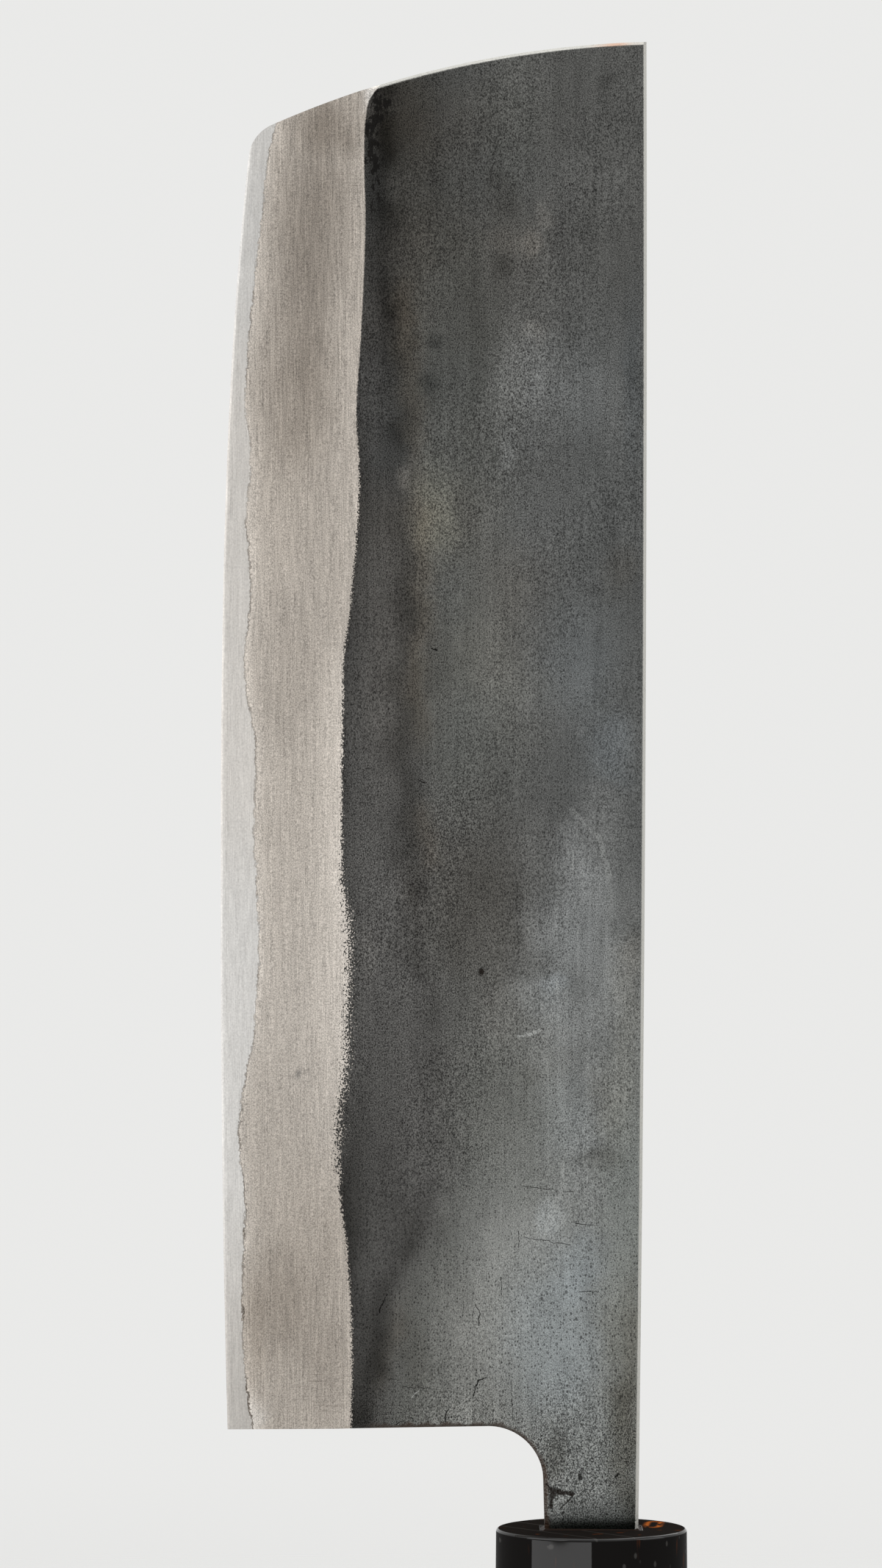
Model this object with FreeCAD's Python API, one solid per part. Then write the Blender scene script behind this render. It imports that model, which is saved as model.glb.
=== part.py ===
"""Nakiri vegetable knife: a forged three-layer blade whose hidden tang is bedded in an oval wooden handle.

The knife stands nose up. The origin is the centre of the handle's butt face, +Z runs along the handle
to the nose, +X points to the spine, and the blade's left side faces -Y. All sizes are in millimetres.
"""

import FreeCAD, Part
import math
import os

Vector = FreeCAD.Vector

# Blade outline
blade_length = 165.0
blade_height = 50.6
spine_offset = 6.5  # spine over the handle's axis
spine_fall = 1.0  # drop of the spine from the nose to the neck
spine_bow = 0.35
neck_length = 11.7  # ferrule face to heel corner
neck_height = 11.1
neck_flare = 0.35
neck_fillet = 6.5
heel_slant = 0.65  # the heel line lies higher at the neck than at the corner
heel_lift = 0.8  # the edge at the heel, against its belly
nose_lift = 3.6  # the edge at the nose corner, against its belly
nose_bow = 2.45
nose_corner_radius = 4.6
belly_share = 0.36  # place of the belly along the blade, from the heel
nose_corner_share = 0.934  # place of the nose corner along the blade

# Blade thickness
heel_thickness = 3.6
tip_thickness = 2.4
shoulder_thinning = 0.5  # the flats thin towards the bevel by this much in all
edge_thickness = 0.16  # behind the sharpened edge
apex_thickness = 0.06
sharpened_width = 0.25
eased_corner = 0.35

# Ground bevel and forge weld, both wavering from heel to nose as (place along, size) shares
bevel_width = 14.6
weld_setback = 2.8  # edge to the line where the core steel goes under the iron
bevel_width_shares = (
    (0.0, 1.01), (0.08, 1.03), (0.20, 0.935), (0.34, 1.05), (0.43, 0.98),
    (0.55, 0.98), (0.68, 1.07), (0.84, 1.03), (0.94, 0.93), (1.0, 1.02),
)
weld_setback_shares = (
    (0.0, 0.96), (0.07, 0.70), (0.14, 0.84), (0.21, 0.66), (0.29, 1.36), (0.35, 1.55),
    (0.47, 1.36), (0.56, 0.89), (0.61, 1.09), (0.68, 0.88), (0.76, 0.62), (0.87, 0.82), (1.0, 0.80),
)

# Tang
tang_length = 85.0  # behind the ferrule face
tang_root_height = 9.0
tang_tip_height = 5.0
tang_tip_thickness = 2.0

# Handle
wood_length = 100.0
ferrule_length = 28.0
butt_height = 25.0
butt_width = 21.0
face_height = 22.7
face_width = 19.0
butt_rounding = 2.0
face_rounding = 0.4

# Inside the handle
mouth_depth = 8.0  # the ferrule's solid front wall
mouth_clearance = 0.45  # round the neck in the ferrule's slot
seal_depth = 3.0
dowel_wall = 1.0  # outside the corners of the tang's pocket
dowel_below_tang = 6.0
bedding_gap = 0.5
glue_gap = 0.05

# One overrun for every cut, and the distance within which two places are the same
overrun = 4.0
same_place = 0.01

# Places along the handle's axis
face_z = wood_length + ferrule_length
heel_z = face_z + neck_length
nose_z = heel_z + blade_length
tang_end_z = face_z - tang_length
wall_z = face_z - mouth_depth
dowel_end_z = tang_end_z - dowel_below_tang

# Places across the blade
spine_x = spine_offset
belly_x = spine_x - blade_height
neck_top_x = spine_x - spine_fall
neck_bottom_x = neck_top_x - neck_height
neck_mid_x = (neck_top_x + neck_bottom_x) / 2
far_x = belly_x - overrun
past_spine_x = spine_x + overrun
plate_half = heel_thickness / 2 + overrun

LEFT, RIGHT = -1, 1


def edge_x(share):
    """X of the cutting edge: a parabola from belly to heel and a cubic from belly to nose."""
    if share < belly_share:
        return belly_x + heel_lift * ((belly_share - share) / belly_share) ** 2
    return belly_x + nose_lift * ((share - belly_share) / (nose_corner_share - belly_share)) ** 3


def flat_half(x, z):
    """Half thickness of the forged flats, a plane that falls off to the nose and to the bevel."""
    at_spine = heel_thickness - (heel_thickness - tip_thickness) * (z - heel_z) / blade_length
    return (at_spine - shoulder_thinning * (spine_x - x) / (blade_height - bevel_width)) / 2


def tang_half(x, z):
    """Half thickness of the tang: it leaves the flats at the ferrule face and thins to its end."""
    fall = flat_half(0, face_z) - tang_tip_thickness / 2
    return flat_half(x, face_z) - fall * (face_z - z) / tang_length


def share_at(shares, place):
    """Value of a table of shares at a place along the blade, on straight lines between its rows."""
    place = min(max(place, 0.0), 1.0)
    for (a, low), (b, high) in zip(shares, shares[1:]):
        if place <= b:
            return low + (high - low) * (place - a) / (b - a)
    return shares[-1][1]


def side_place(side, place):
    """The right side's lines waver in the opposite order, so that the two sides differ."""
    return place if side == LEFT else 1.0 - place


def bevel_at(side, place):
    """Width of the ground bevel on one side."""
    return bevel_width * share_at(bevel_width_shares, side_place(side, place))


def bevel_half(side, place, distance):
    """Half thickness of the ground bevel at a distance from the edge."""
    width = bevel_at(side, place)
    z = heel_z + blade_length * place
    shoulder = flat_half(edge_x(place) + width, z)
    rise = (shoulder - edge_thickness / 2) / (width - sharpened_width)
    return edge_thickness / 2 + rise * (distance - sharpened_width)


def core_half(side, place):
    """Half thickness of the core steel, which sets where its weld line comes out on the bevel."""
    setback = weld_setback * share_at(weld_setback_shares, side_place(side, place))
    return bevel_half(side, place, setback)


def spline(points):
    """An edge through points."""
    curve = Part.BSplineCurve()
    curve.interpolate(points)
    return curve.toShape()


def bowed(start, end, bow):
    """An arc from start to end in the XZ plane, bowed to the right of its direction of travel."""
    along = end - start
    across = Vector(along.z, 0, -along.x).normalize()
    return Part.Arc(start, (start + end) / 2 + across * bow, end).toShape()


def line(start, end):
    return Part.LineSegment(start, end).toShape()


def at(x, z):
    return Vector(x, 0, z)


def upright_edges(solid, place):
    """The edges of a plate that stand straight through its thickness at one place."""
    found = []
    for edge in solid.Edges:
        ends = [v.Point for v in edge.Vertexes]
        if len(ends) == 2 and all(at(p.x, p.z).isEqual(place, same_place) for p in ends):
            found.append(edge)
    return found


def plate(edges):
    """A plate of a closed outline, thicker than the blade."""
    outline = Part.Wire(Part.__sortEdges__(edges))
    solid = Part.Face(outline).extrude(Vector(0, 2 * plate_half, 0))
    solid.translate(Vector(0, -plate_half, 0))
    return solid


def blade_plate():
    """The blade's outline from the ferrule face to the nose, as a plate."""
    nose_corner = at(edge_x(nose_corner_share), heel_z + blade_length * nose_corner_share)
    heel_corner = at(edge_x(0), heel_z)
    neck_corner = at(neck_bottom_x - neck_flare, heel_z + heel_slant)
    neck_end = at(neck_bottom_x, face_z)
    spine_corner = at(spine_x, nose_z)
    spine_end = at(neck_top_x, face_z)
    steps = 8
    edge_places = [nose_corner_share * i / steps for i in range(steps + 1)]
    solid = plate([
        spline([at(edge_x(p), heel_z + blade_length * p) for p in edge_places]),
        bowed(nose_corner, spine_corner, -nose_bow),
        bowed(spine_corner, spine_end, -spine_bow),
        line(spine_end, neck_end),
        line(neck_end, neck_corner),
        line(neck_corner, heel_corner),
    ])
    solid = solid.makeFillet(neck_fillet, upright_edges(solid, neck_corner))
    return solid.makeFillet(nose_corner_radius, upright_edges(solid, nose_corner))


def tang_plate():
    """The tang's outline behind the ferrule face, as a plate."""
    corners = [
        at(neck_bottom_x, face_z),
        at(-tang_root_height / 2, wall_z),
        at(-tang_tip_height / 2, tang_end_z),
        at(tang_tip_height / 2, tang_end_z),
        at(tang_root_height / 2, wall_z),
        at(neck_top_x, face_z),
    ]
    return plate([line(a, b) for a, b in zip(corners, corners[1:] + corners[:1])])


def is_eased(edge):
    """Whether an edge is a corner of the flats, apart from the cutting edge's side and the neck's end."""
    first, last = edge.FirstParameter, edge.LastParameter
    points = [edge.valueAt(t) for t in (first, (first + last) / 2, last)]
    if all(abs(p.z - face_z) < same_place for p in points):
        return False
    if all(p.x < edge_x(1) for p in points):
        return False
    return all(abs(abs(p.y) - flat_half(p.x, p.z)) < same_place for p in points)


def outward(face, side):
    """A cutter: everything outside a face on one side of the blade."""
    return face.extrude(Vector(0, side * 2 * plate_half, 0))


def flat_cutter(side, half, low_z, high_z):
    """Cutter down to a plane given by its half thickness at a place."""
    corners = [(far_x, low_z), (past_spine_x, low_z), (past_spine_x, high_z), (far_x, high_z)]
    points = [Vector(x, side * half(x, z), z) for x, z in corners]
    return outward(Part.Face(Part.makePolygon(points + points[:1])), side)


def bevel_cutter(side):
    """Cutter down to the ground bevel: straight rulings from past the edge to above the flats."""
    past = overrun / blade_length
    steps = 20
    places = [-past + (1 + 2 * past) * i / steps for i in range(steps + 1)]
    rails = []
    for reach in (-overrun, overrun):
        points = []
        for place in places:
            distance = reach if reach < 0 else bevel_at(side, place) + reach
            y = side * bevel_half(side, place, distance)
            points.append(Vector(edge_x(place) + distance, y, heel_z + blade_length * place))
        rails.append(spline(points))
    return outward(Part.makeRuledSurface(*rails), side)


def sharpened_cutter(side):
    """Cutter down to the narrow sharpened strip along the edge."""
    past = overrun / blade_length
    slope = (edge_thickness - apex_thickness) / 2 / sharpened_width
    steps = 12
    places = [-past + (1 + 2 * past) * i / steps for i in range(steps + 1)]
    rails = []
    for distance in (-sharpened_width, 2 * sharpened_width):
        y = side * (apex_thickness / 2 + slope * distance)
        points = [Vector(edge_x(p) + distance, y, heel_z + blade_length * p) for p in places]
        rails.append(spline(points))
    return outward(Part.makeRuledSurface(*rails), side)


def forged_blade():
    """The whole blade with its tang, before it is parted into its three forge-welded layers."""
    blade = blade_plate()
    tang = tang_plate()
    for side in (LEFT, RIGHT):
        blade = blade.cut(flat_cutter(side, flat_half, face_z - overrun, nose_z + overrun))
        tang = tang.cut(flat_cutter(side, tang_half, tang_end_z - overrun, face_z + overrun))
    blade = blade.makeChamfer(eased_corner, [e for e in blade.Edges if is_eased(e)])
    for side in (LEFT, RIGHT):
        blade = blade.cut(bevel_cutter(side))
        blade = blade.cut(sharpened_cutter(side))
    return blade.fuse(tang).Solids[0]


def core_slab():
    """The core steel's layer, wavering in thickness along the blade, across the whole width."""
    steps = 26
    places = [i / steps for i in range(steps + 1)]
    walls = {}
    for side in (LEFT, RIGHT):
        wave = [Vector(far_x, side * core_half(side, p), heel_z + blade_length * p) for p in places]
        walls[side] = (spline(wave), wave[0], wave[-1])
    low = [Vector(far_x, walls[s][1].y, tang_end_z - overrun) for s in (LEFT, RIGHT)]
    high = [Vector(far_x, walls[s][2].y, nose_z + overrun) for s in (LEFT, RIGHT)]
    edges = [line(low[0], low[1]), line(high[0], high[1])]
    for i, side in enumerate((LEFT, RIGHT)):
        wave, first, last = walls[side]
        edges += [line(low[i], first), wave, line(last, high[i])]
    section = Part.Face(Part.Wire(Part.__sortEdges__(edges)))
    return section.extrude(Vector(past_spine_x - far_x, 0, 0))


def oval(z):
    """The handle's oval section, which tapers evenly from butt to ferrule face."""
    share = z / face_z
    half_height = (butt_height + (face_height - butt_height) * share) / 2
    half_width = (butt_width + (face_width - butt_width) * share) / 2
    ellipse = Part.Ellipse(Vector(half_height, 0, z), Vector(0, half_width, z), Vector(0, 0, z))
    return Part.Wire(ellipse.toShape())


def oval_length(low_z, high_z, rim_z, rounding):
    """A length of the handle with one rim rounded."""
    length = Part.makeLoft([oval(low_z), oval(high_z)], True, True)
    rims = [e for e in length.Edges if all(abs(v.Point.z - rim_z) < same_place for v in e.Vertexes)]
    return length.makeFillet(rounding, rims)


def block(x_mid, height, thickness, low_z, high_z):
    """A straight rectangular block about the blade's plane."""
    corner = Vector(x_mid - height / 2, -thickness / 2, low_z)
    return Part.makeBox(height, thickness, high_z - low_z, corner)


def pocket_mouth():
    """Half height and half thickness of the tang's pocket where it opens in the dowel's end."""
    return tang_root_height / 2 + bedding_gap, tang_half(0, wall_z) + bedding_gap


def tang_pocket():
    """The tapered pocket that is cut for the tang, wider than it all round by the bedding."""
    tip = (tang_tip_height / 2 + bedding_gap, tang_tip_thickness / 2 + bedding_gap)
    wires = []
    for (x, y), z in ((pocket_mouth(), wall_z), (tip, tang_end_z - bedding_gap)):
        corners = [Vector(-x, -y, z), Vector(x, -y, z), Vector(x, y, z), Vector(-x, y, z)]
        wires.append(Part.makePolygon(corners + corners[:1]))
    return Part.makeLoft(wires, True, True)


def mouth_slot(low_z, high_z):
    """The slot through the ferrule's front wall, round the neck."""
    height = neck_height + 2 * mouth_clearance
    thickness = 2 * (flat_half(neck_top_x, face_z) + mouth_clearance)
    return block(neck_mid_x, height, thickness, low_z, high_z)


def rod(diameter, low_z, high_z):
    return Part.makeCylinder(diameter / 2, high_z - low_z, Vector(0, 0, low_z))


def build():
    """All pieces by node name."""
    blade = forged_blade()
    slab = core_slab()
    sides = blade.cut(slab).Solids
    pieces = {
        "core_steel": blade.common(slab),
        "left_cladding": min(sides, key=lambda s: s.CenterOfMass.y),
        "right_cladding": max(sides, key=lambda s: s.CenterOfMass.y),
    }
    dowel_diameter = 2 * (math.hypot(*pocket_mouth()) + dowel_wall)
    socket_diameter = dowel_diameter + 2 * glue_gap
    ferrule = oval_length(wood_length, face_z, face_z, face_rounding)
    ferrule = ferrule.cut(rod(socket_diameter, wood_length - overrun, wall_z))
    pieces["horn_ferrule"] = ferrule.cut(mouth_slot(wall_z - overrun, face_z + overrun))
    handle = oval_length(0, wood_length, 0, butt_rounding)
    pieces["wood_handle"] = handle.cut(rod(socket_diameter, dowel_end_z - glue_gap, wood_length + overrun))
    pocket = tang_pocket()
    pieces["tang_dowel"] = rod(dowel_diameter, dowel_end_z, wall_z - glue_gap).cut(pocket)
    bed = pocket.fuse(mouth_slot(wall_z - glue_gap, face_z - seal_depth))
    pieces["tang_bedding"] = bed.cut(blade)
    pieces["mouth_seal"] = mouth_slot(face_z - seal_depth, face_z).cut(blade)
    return pieces


os.makedirs("parts", exist_ok=True)
for name, piece in build().items():
    piece.exportStep("parts/" + name + ".step")
    print(name, len(piece.Solids), piece.isValid(), round(piece.Volume, 2))
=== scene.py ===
"""Surfaces, finishes, light and camera for a forged nakiri vegetable knife.

The knife stands nose up: +Z runs from the butt to the nose, +X points to the spine, and the blade's left
side faces -Y and the camera. Sizes are in metres, and the tables of the finishes in millimetres.
"""

import math

import bmesh
import bpy
import numpy as np
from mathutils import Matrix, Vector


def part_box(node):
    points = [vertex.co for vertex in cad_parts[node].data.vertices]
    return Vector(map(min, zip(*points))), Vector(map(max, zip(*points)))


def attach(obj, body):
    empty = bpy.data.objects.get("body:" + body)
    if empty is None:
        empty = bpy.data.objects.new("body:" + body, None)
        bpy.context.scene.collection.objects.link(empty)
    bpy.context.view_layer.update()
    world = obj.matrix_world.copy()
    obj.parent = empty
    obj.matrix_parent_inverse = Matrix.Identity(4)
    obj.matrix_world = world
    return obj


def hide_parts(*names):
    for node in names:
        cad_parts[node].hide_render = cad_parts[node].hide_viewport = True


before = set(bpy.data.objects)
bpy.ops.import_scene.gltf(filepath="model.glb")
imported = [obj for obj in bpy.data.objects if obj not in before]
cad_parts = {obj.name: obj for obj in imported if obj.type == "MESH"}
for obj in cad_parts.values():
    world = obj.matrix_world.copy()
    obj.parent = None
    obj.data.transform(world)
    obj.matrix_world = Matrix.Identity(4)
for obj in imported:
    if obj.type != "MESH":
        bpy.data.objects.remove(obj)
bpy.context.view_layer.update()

bl_info = {
    "name": "Nakiri knife",
    "version": (1, 0, 0),
    "blender": (4, 5, 0),
    "location": "View3D > Sidebar > Nakiri",
    "description": "Builds the surfaces and finishes of a forged vegetable knife",
    "category": "Add Mesh",
}

# Places that come from the frame
CORE_LOW, CORE_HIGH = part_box("core_steel")
SPINE_X = CORE_HIGH[0]
BELLY_X = CORE_LOW[0]
TANG_END_Z = CORE_LOW[2]
NOSE_Z = CORE_HIGH[2]
FACE_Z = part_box("horn_ferrule")[1][2]
JOINT_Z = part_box("wood_handle")[1][2]
DOWEL_END_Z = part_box("tang_dowel")[0][2]
DOWEL_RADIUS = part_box("tang_dowel")[1][0]
SEAL_LOW, SEAL_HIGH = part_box("mouth_seal")

MM = 0.001
LEFT, RIGHT = -1, 1
BLADE_ROWS = 330
SHARP_ANGLE = math.radians(28)

# Plain warmth of the bevel, and the lead of green on it and on the edge
BEVEL_WARMTH, STEEL_GREEN = 16.5, 0.3
# Cells of the patterns in millimetres along X, Y and Z
SCALE_GRAIN, SPECKLE = (0.13, 0.13, 0.17), (0.17, 0.17, 0.22)
MOTTLE, SOFT_CLOUD = (1.2, 1.2, 3.6), (0.6, 0.6, 0.9)
SCALE_STREAKS, LONG_LINES = (0.45, 0.45, 14.0), (0.22, 0.22, 12.0)
BEVEL_LINES, EDGE_LINES, CROSS_LINES = (0.09, 0.09, 4.0), (0.08, 0.08, 3.0), (3.0, 3.0, 0.14)
EDGE_GRAIN, EDGE_CLOUD = (0.18, 0.18, 0.24), (1.2, 1.2, 5.0)
PIT_CLUSTERS, BLOT_BORDER = (2.6, 2.6, 4.0), (0.5, 0.5, 1.0)
WELD_DRIFT, WELD_JAGS, MARK_BENDS = (0.7, 0.7, 1.0), (0.2, 0.2, 0.28), (0.6, 0.6, 0.6)
HORN_STREAKS, HORN_WAVES, HORN_POLISH = (1.6, 1.6, 9.0), (2.5, 2.5, 5.0), (0.3, 0.3, 0.3)
AMBER_BORDER, RESIN_CLOUD, WOOD_CLOUD = (0.8, 2.0, 0.8), (0.8, 0.8, 0.8), (14.0, 14.0, 40.0)
WOOD_WARP, WOOD_PORES = (9.0, 9.0, 70.0), (0.22, 0.22, 5.0)
# Spacing of pits, flecks and bubbles, and the wood's growth rings, in millimetres
FINE_PITS, PITS, COARSE_PITS, HORN_FLECKS, BUBBLES = 0.25, 0.38, 0.58, 0.9, 0.5
HANDLE_RING, DOWEL_RING = 3.4, 2.2
# Ends of the amber spot's middle line on the ferrule's face, in millimetres, and its outer and inner width
AMBER_LINE, AMBER_WIDTHS = ((7.3, 1.2), (7.7, 4.6)), (1.4, 0.8)
# Gloss of the ferrule's wall, and the depths in millimetres where its glossy rim and its cut end begin
WALL_GLOSS, RIM_DEPTHS, END_DEPTHS = 0.12, (0.36, 0.26), (0.06, 0.01)

# Depth of the fine relief that each finish shades
STEEL_RELIEF, HORN_RELIEF, WOOD_RELIEF, RESIN_RELIEF = 0.02 * MM, 0.003 * MM, 0.03 * MM, 0.03 * MM

# Soft lamps and the low panel, as (name, place, target, width, height, watts), with lengths in metres
LAMPS = (
    ("soft_left", (-0.80, -0.60, 0.45), (0.0, 0.0, 0.14), 0.9, 0.9, 3.4),
    ("soft_right", (0.90, -0.30, 0.40), (0.0, 0.0, 0.14), 0.6, 0.8, 1.5),
    ("soft_back", (0.3, 0.95, 1.00), (0.0, 0.0, 0.14), 0.8, 0.6, 2.6),
    ("soft_top", (0.0, 0.05, 1.05), (0.0, 0.0, 0.1), 0.8, 0.8, 2.6),
)
LOW_PANEL = ("low_panel", (-0.19, -0.282, 0.0763), (0.0, 0.0, 0.12), 0.45, 0.02, 0.30)

# Lines that waver along the blade, as (place from heel to nose, share of the nominal size) rows
BEVEL_WIDTH_SHARES = (
    (0.0, 1.005), (0.05, 1.03), (0.10, 1.025), (0.14, 0.995), (0.17, 0.955), (0.20, 0.94), (0.23, 0.96),
    (0.26, 1.005), (0.30, 1.025), (0.34, 1.045), (0.37, 1.03), (0.39, 0.995), (0.43, 0.985), (0.48, 0.985),
    (0.53, 0.99), (0.56, 0.995), (0.58, 1.025), (0.62, 1.06), (0.66, 1.085), (0.70, 1.075), (0.73, 1.04),
    (0.78, 1.04), (0.83, 1.03), (0.87, 1.005), (0.92, 0.94), (0.945, 0.92), (0.96, 0.94), (0.97, 1.015),
    (1.0, 1.25),
)
WELD_SETBACK_SHARES = (
    (0.0, 0.99), (0.03, 0.81), (0.07, 0.69), (0.10, 0.70), (0.14, 0.82), (0.18, 0.83), (0.20, 0.66),
    (0.22, 0.68), (0.26, 1.02), (0.285, 1.33), (0.30, 1.36), (0.33, 1.53), (0.35, 1.56), (0.39, 1.47),
    (0.43, 1.32), (0.475, 1.41), (0.50, 1.35), (0.52, 1.12), (0.56, 0.88), (0.58, 1.02), (0.60, 1.09),
    (0.625, 1.05), (0.65, 0.84), (0.69, 0.93), (0.71, 0.92), (0.73, 0.66), (0.77, 0.59), (0.83, 0.68),
    (0.88, 0.74), (0.92, 0.79), (0.94, 0.95), (1.0, 1.1),
)

# How values of the finish run along the blade: the value at the ferrule's face, then (from, to, change) steps
# in millimetres above it
ALONG = {
    "scale_tone": (
        -19, (0.3, 1.9, 85), (1.5, 4.5, 20), (12, 30, 8), (20, 110, -7), (60, 80, 2.5), (135, 150, -2.5),
    ),
    "low_flat": (1, (24, 84, -1)),
    "high_flat": (0, (36, 72, 1)),
    "nose_shade": (0, (118, 160, 14), (146, 166, 19)),
    "shoulder_shade": (22, (120, 150, -22)),
    "brown_bloom": (5.5, (20, 30, -5.5), (60, 90, 5.5), (144, 154, -5.5)),
    "spine_coolness": (3, (138, 152, -2)),
    "warm_waves": (0, (80, 100, 2)),
    "bevel_tone": (166, (25, 70, -3), (32, 80, 8), (98, 152, -8)),
    # painted highlight on the ground bevel along its shoulder
    "shoulder_highlight": (0, (47, 60, 18), (98, 110, -18)),
    "edge_tone": (187, (10, 46, 29), (56, 120, -10), (95, 160, -3)),
    "edge_warmth": (9, (20, 45, -4), (70, 90, 4), (130, 150, -4)),
    "dither": (0.4, (38, 46, 1.1), (70, 84, -1.1), (118, 140, -0.34)),
    "grains": (6.3, (8, 20, -3.8), (34, 46, 0.7), (105, 120, 0.7)),
    "streak_grains": (0, (36, 50, 1.4), (84, 98, -1.4)),
    "pit_depth": (0.65, (24, 40, -0.1)),
    "brush": (1.35, (22, 40, -0.3), (100, 135, 0.45)),
    "weld_depth": (0.85, (34, 60, -0.3)),
}
# Random waves, as (height, cell in millimetres, squeeze across the blade, seed) rows
RIPPLES = {
    "hammer": ((1, 9, 1, 3), (0.5, 3.6, 1, 7), (0.25, 1.3, 1, 11)),
    "scale": ((3.2, 6, 1, 21), (2.5, 9, 5, 23)),
    "bevel": ((2.5, 8, 3, 31),),
    "patch_across": ((0.7, 3, 1, 41), (0.3, 1.2, 1, 42)),
    "patch_up": ((1.4, 4, 1, 43), (0.6, 1.5, 1, 44)),
    "streak": ((0.7, 4, 1, 45), (0.4, 1.4, 1, 46)),
    "streak_depth": ((0.45, 3, 1, 47),),
    "bloom": ((1, 7, 1, 49),),
    "warmth": ((1, 8, 1, 51),),
}

# The dark streak beside the shoulder: millimetres above the ferrule's face, x, its depth of tone, and how
# much darker the scale is between it and the shoulder
DARK_STREAK = (
    (0, -27.6, 16, 10), (12, -27.2, 20, 12), (18, -26.5, 24, 12), (23, -25.8, 24, 14),
    (27.5, -24.7, 24, 16), (31, -23.2, 22, 14), (36, -21.2, 14, 14), (42, -19.2, 9, 13),
    (50, -19.2, 10, 8), (60, -20.0, 12, 0), (70, -21.0, 16, -2), (80, -21.5, 21, 0), (90, -22.0, 20, 2),
    (100, -22.6, 18, 3), (107, -22.3, 24, 5), (115, -22.0, 16, 8), (122, -22.3, 14, 11),
    (130, -23.0, 24, 15), (140, -23.8, 28, 14), (150, -24.5, 26, 16), (157, -25.2, 28, 18),
    (166, -25.6, 28, 18), (176, -25.4, 24, 18),
)
# Soft patches of the forged flats, partly the scale's own uneven tone and partly painted light: the pale
# spots that lose warmth are painted highlights, and the dark spots on the neck beside the ferrule are painted
# shade. In millimetres from the handle's axis and above the ferrule's face: x, up, half width, half height,
# change of tone, change of warmth
FLAT_PATCHES_AND_PAINTED_LIGHT = (
    (-9.0, 171.0, 3.0, 6.0, 4, 0), (2.3, 171.5, 1.2, 1.2, -10, 0), (-10.5, 158.5, 2.2, 3.0, -9, 1),
    (-10.0, 149.6, 1.2, 1.2, -12, 0), (-9.0, 152.8, 3.2, 1.8, 6, 2), (-5.2, 156.3, 1.1, 1.4, 14, 2),
    (-6.7, 153.3, 1.0, 1.6, 16, 3), (-14.0, 141.0, 1.6, 9.0, -11, 0), (-9.0, 136.5, 3.6, 6.5, 22, -1),
    (-7.0, 142.0, 1.8, 1.6, 14, 2), (-5.5, 134.5, 3.0, 6.5, 12, -1), (-1.0, 134.5, 3.2, 6.0, 14, -1),
    (3.0, 135.0, 2.5, 7.0, 8, 0), (-10.4, 128.2, 1.2, 2.6, 18, -1), (5.0, 137.0, 1.3, 10.0, -4, -2),
    (-18.8, 120.4, 2.7, 5.6, 20, 4), (-22.4, 124.8, 0.8, 1.2, 24, 3), (-18.5, 141.5, 1.0, 1.0, -14, -1),
    (-19.5, 135.8, 0.9, 0.9, -14, -1), (-16.5, 160.0, 3.0, 7.0, -7, 1), (-21.5, 158.0, 3.0, 14.0, 0, 3),
    (-10.3, 106.0, 3.0, 9.0, 6, 0), (-13.5, 104.5, 3.5, 5.0, 8, 1), (-2.5, 103.0, 5.0, 8.0, 12, -3),
    (-9.0, 98.0, 6.0, 6.0, 10, 1), (2.2, 92.5, 3.0, 4.0, 18, -4), (-11.5, 112.0, 4.0, 5.0, 8, 1),
    (-8.5, 120.0, 6.0, 5.0, 6, 0), (3.5, 113.0, 2.0, 3.0, -4, 3), (-17.6, 98.0, 2.2, 3.0, 9, 1),
    (-24.5, 97.0, 1.6, 5.0, 8, 0), (-14.0, 74.0, 6.0, 9.0, -9, 2), (1.8, 84.0, 2.6, 4.5, 18, 0),
    (-6.8, 81.0, 2.0, 4.0, 12, 0), (-2.2, 79.0, 2.6, 5.0, 28, -1), (0.7, 76.0, 1.8, 4.0, 30, -1),
    (-3.6, 70.5, 3.4, 5.0, 30, -2), (4.0, 76.0, 1.6, 4.0, 12, 0), (-6.9, 73.5, 1.8, 3.4, 14, -1),
    (-10.5, 62.0, 2.4, 4.0, 9, 1), (-4.6, 64.2, 1.6, 1.6, 18, -3), (-6.5, 63.2, 3.4, 3.4, 20, -2),
    (1.0, 66.0, 3.0, 7.0, 30, -1), (-3.0, 60.5, 2.2, 2.4, 16, -1), (0.7, 54.0, 2.0, 2.6, 13, 0),
    (-6.8, 54.0, 2.0, 2.4, -9, 1), (4.0, 62.0, 2.2, 9.0, 11, 3), (-4.5, 57.0, 4.0, 5.0, 14, 0),
    (-2.6, 48.0, 3.4, 6.0, 14, -2), (2.8, 50.0, 2.6, 5.0, 6, 3), (1.2, 43.2, 2.6, 1.4, -16, 2),
    (-4.8, 37.2, 1.5, 2.2, 22, -3), (-20.5, 45.0, 3.0, 9.0, 7, 0), (-28.2, 40.0, 1.4, 9.0, -12, 0),
    (-28.2, 21.0, 1.3, 6.0, 10, 0), (-26.5, 68.0, 1.4, 3.0, 12, 1), (-5.0, 22.0, 6.0, 10.0, 10, -6),
    (-2.0, 31.0, 3.0, 4.0, 6, -4), (3.4, 22.0, 2.4, 8.0, -12, 4), (0.9, 25.0, 1.2, 2.5, -7, 0),
    (5.2, 22.0, 1.4, 10.0, -12, 3), (4.2, 11.0, 2.0, 7.0, -26, 5), (-4.4, 9.0, 1.4, 3.2, -24, 2),
    (-4.2, 2.6, 1.4, 1.6, 18, 0), (4.9, 3.5, 1.4, 3.0, -28, 2), (-12.0, 36.0, 5.0, 8.0, 5, -1),
    (0.0, 10.0, 8.0, 5.0, -4, 0), (-21.2, 21.5, 1.8, 5.0, -9, 1), (-21.2, 76.0, 1.6, 4.0, 8, 1),
    (4.8, 68.5, 1.4, 3.0, 9, 2),
)
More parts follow.
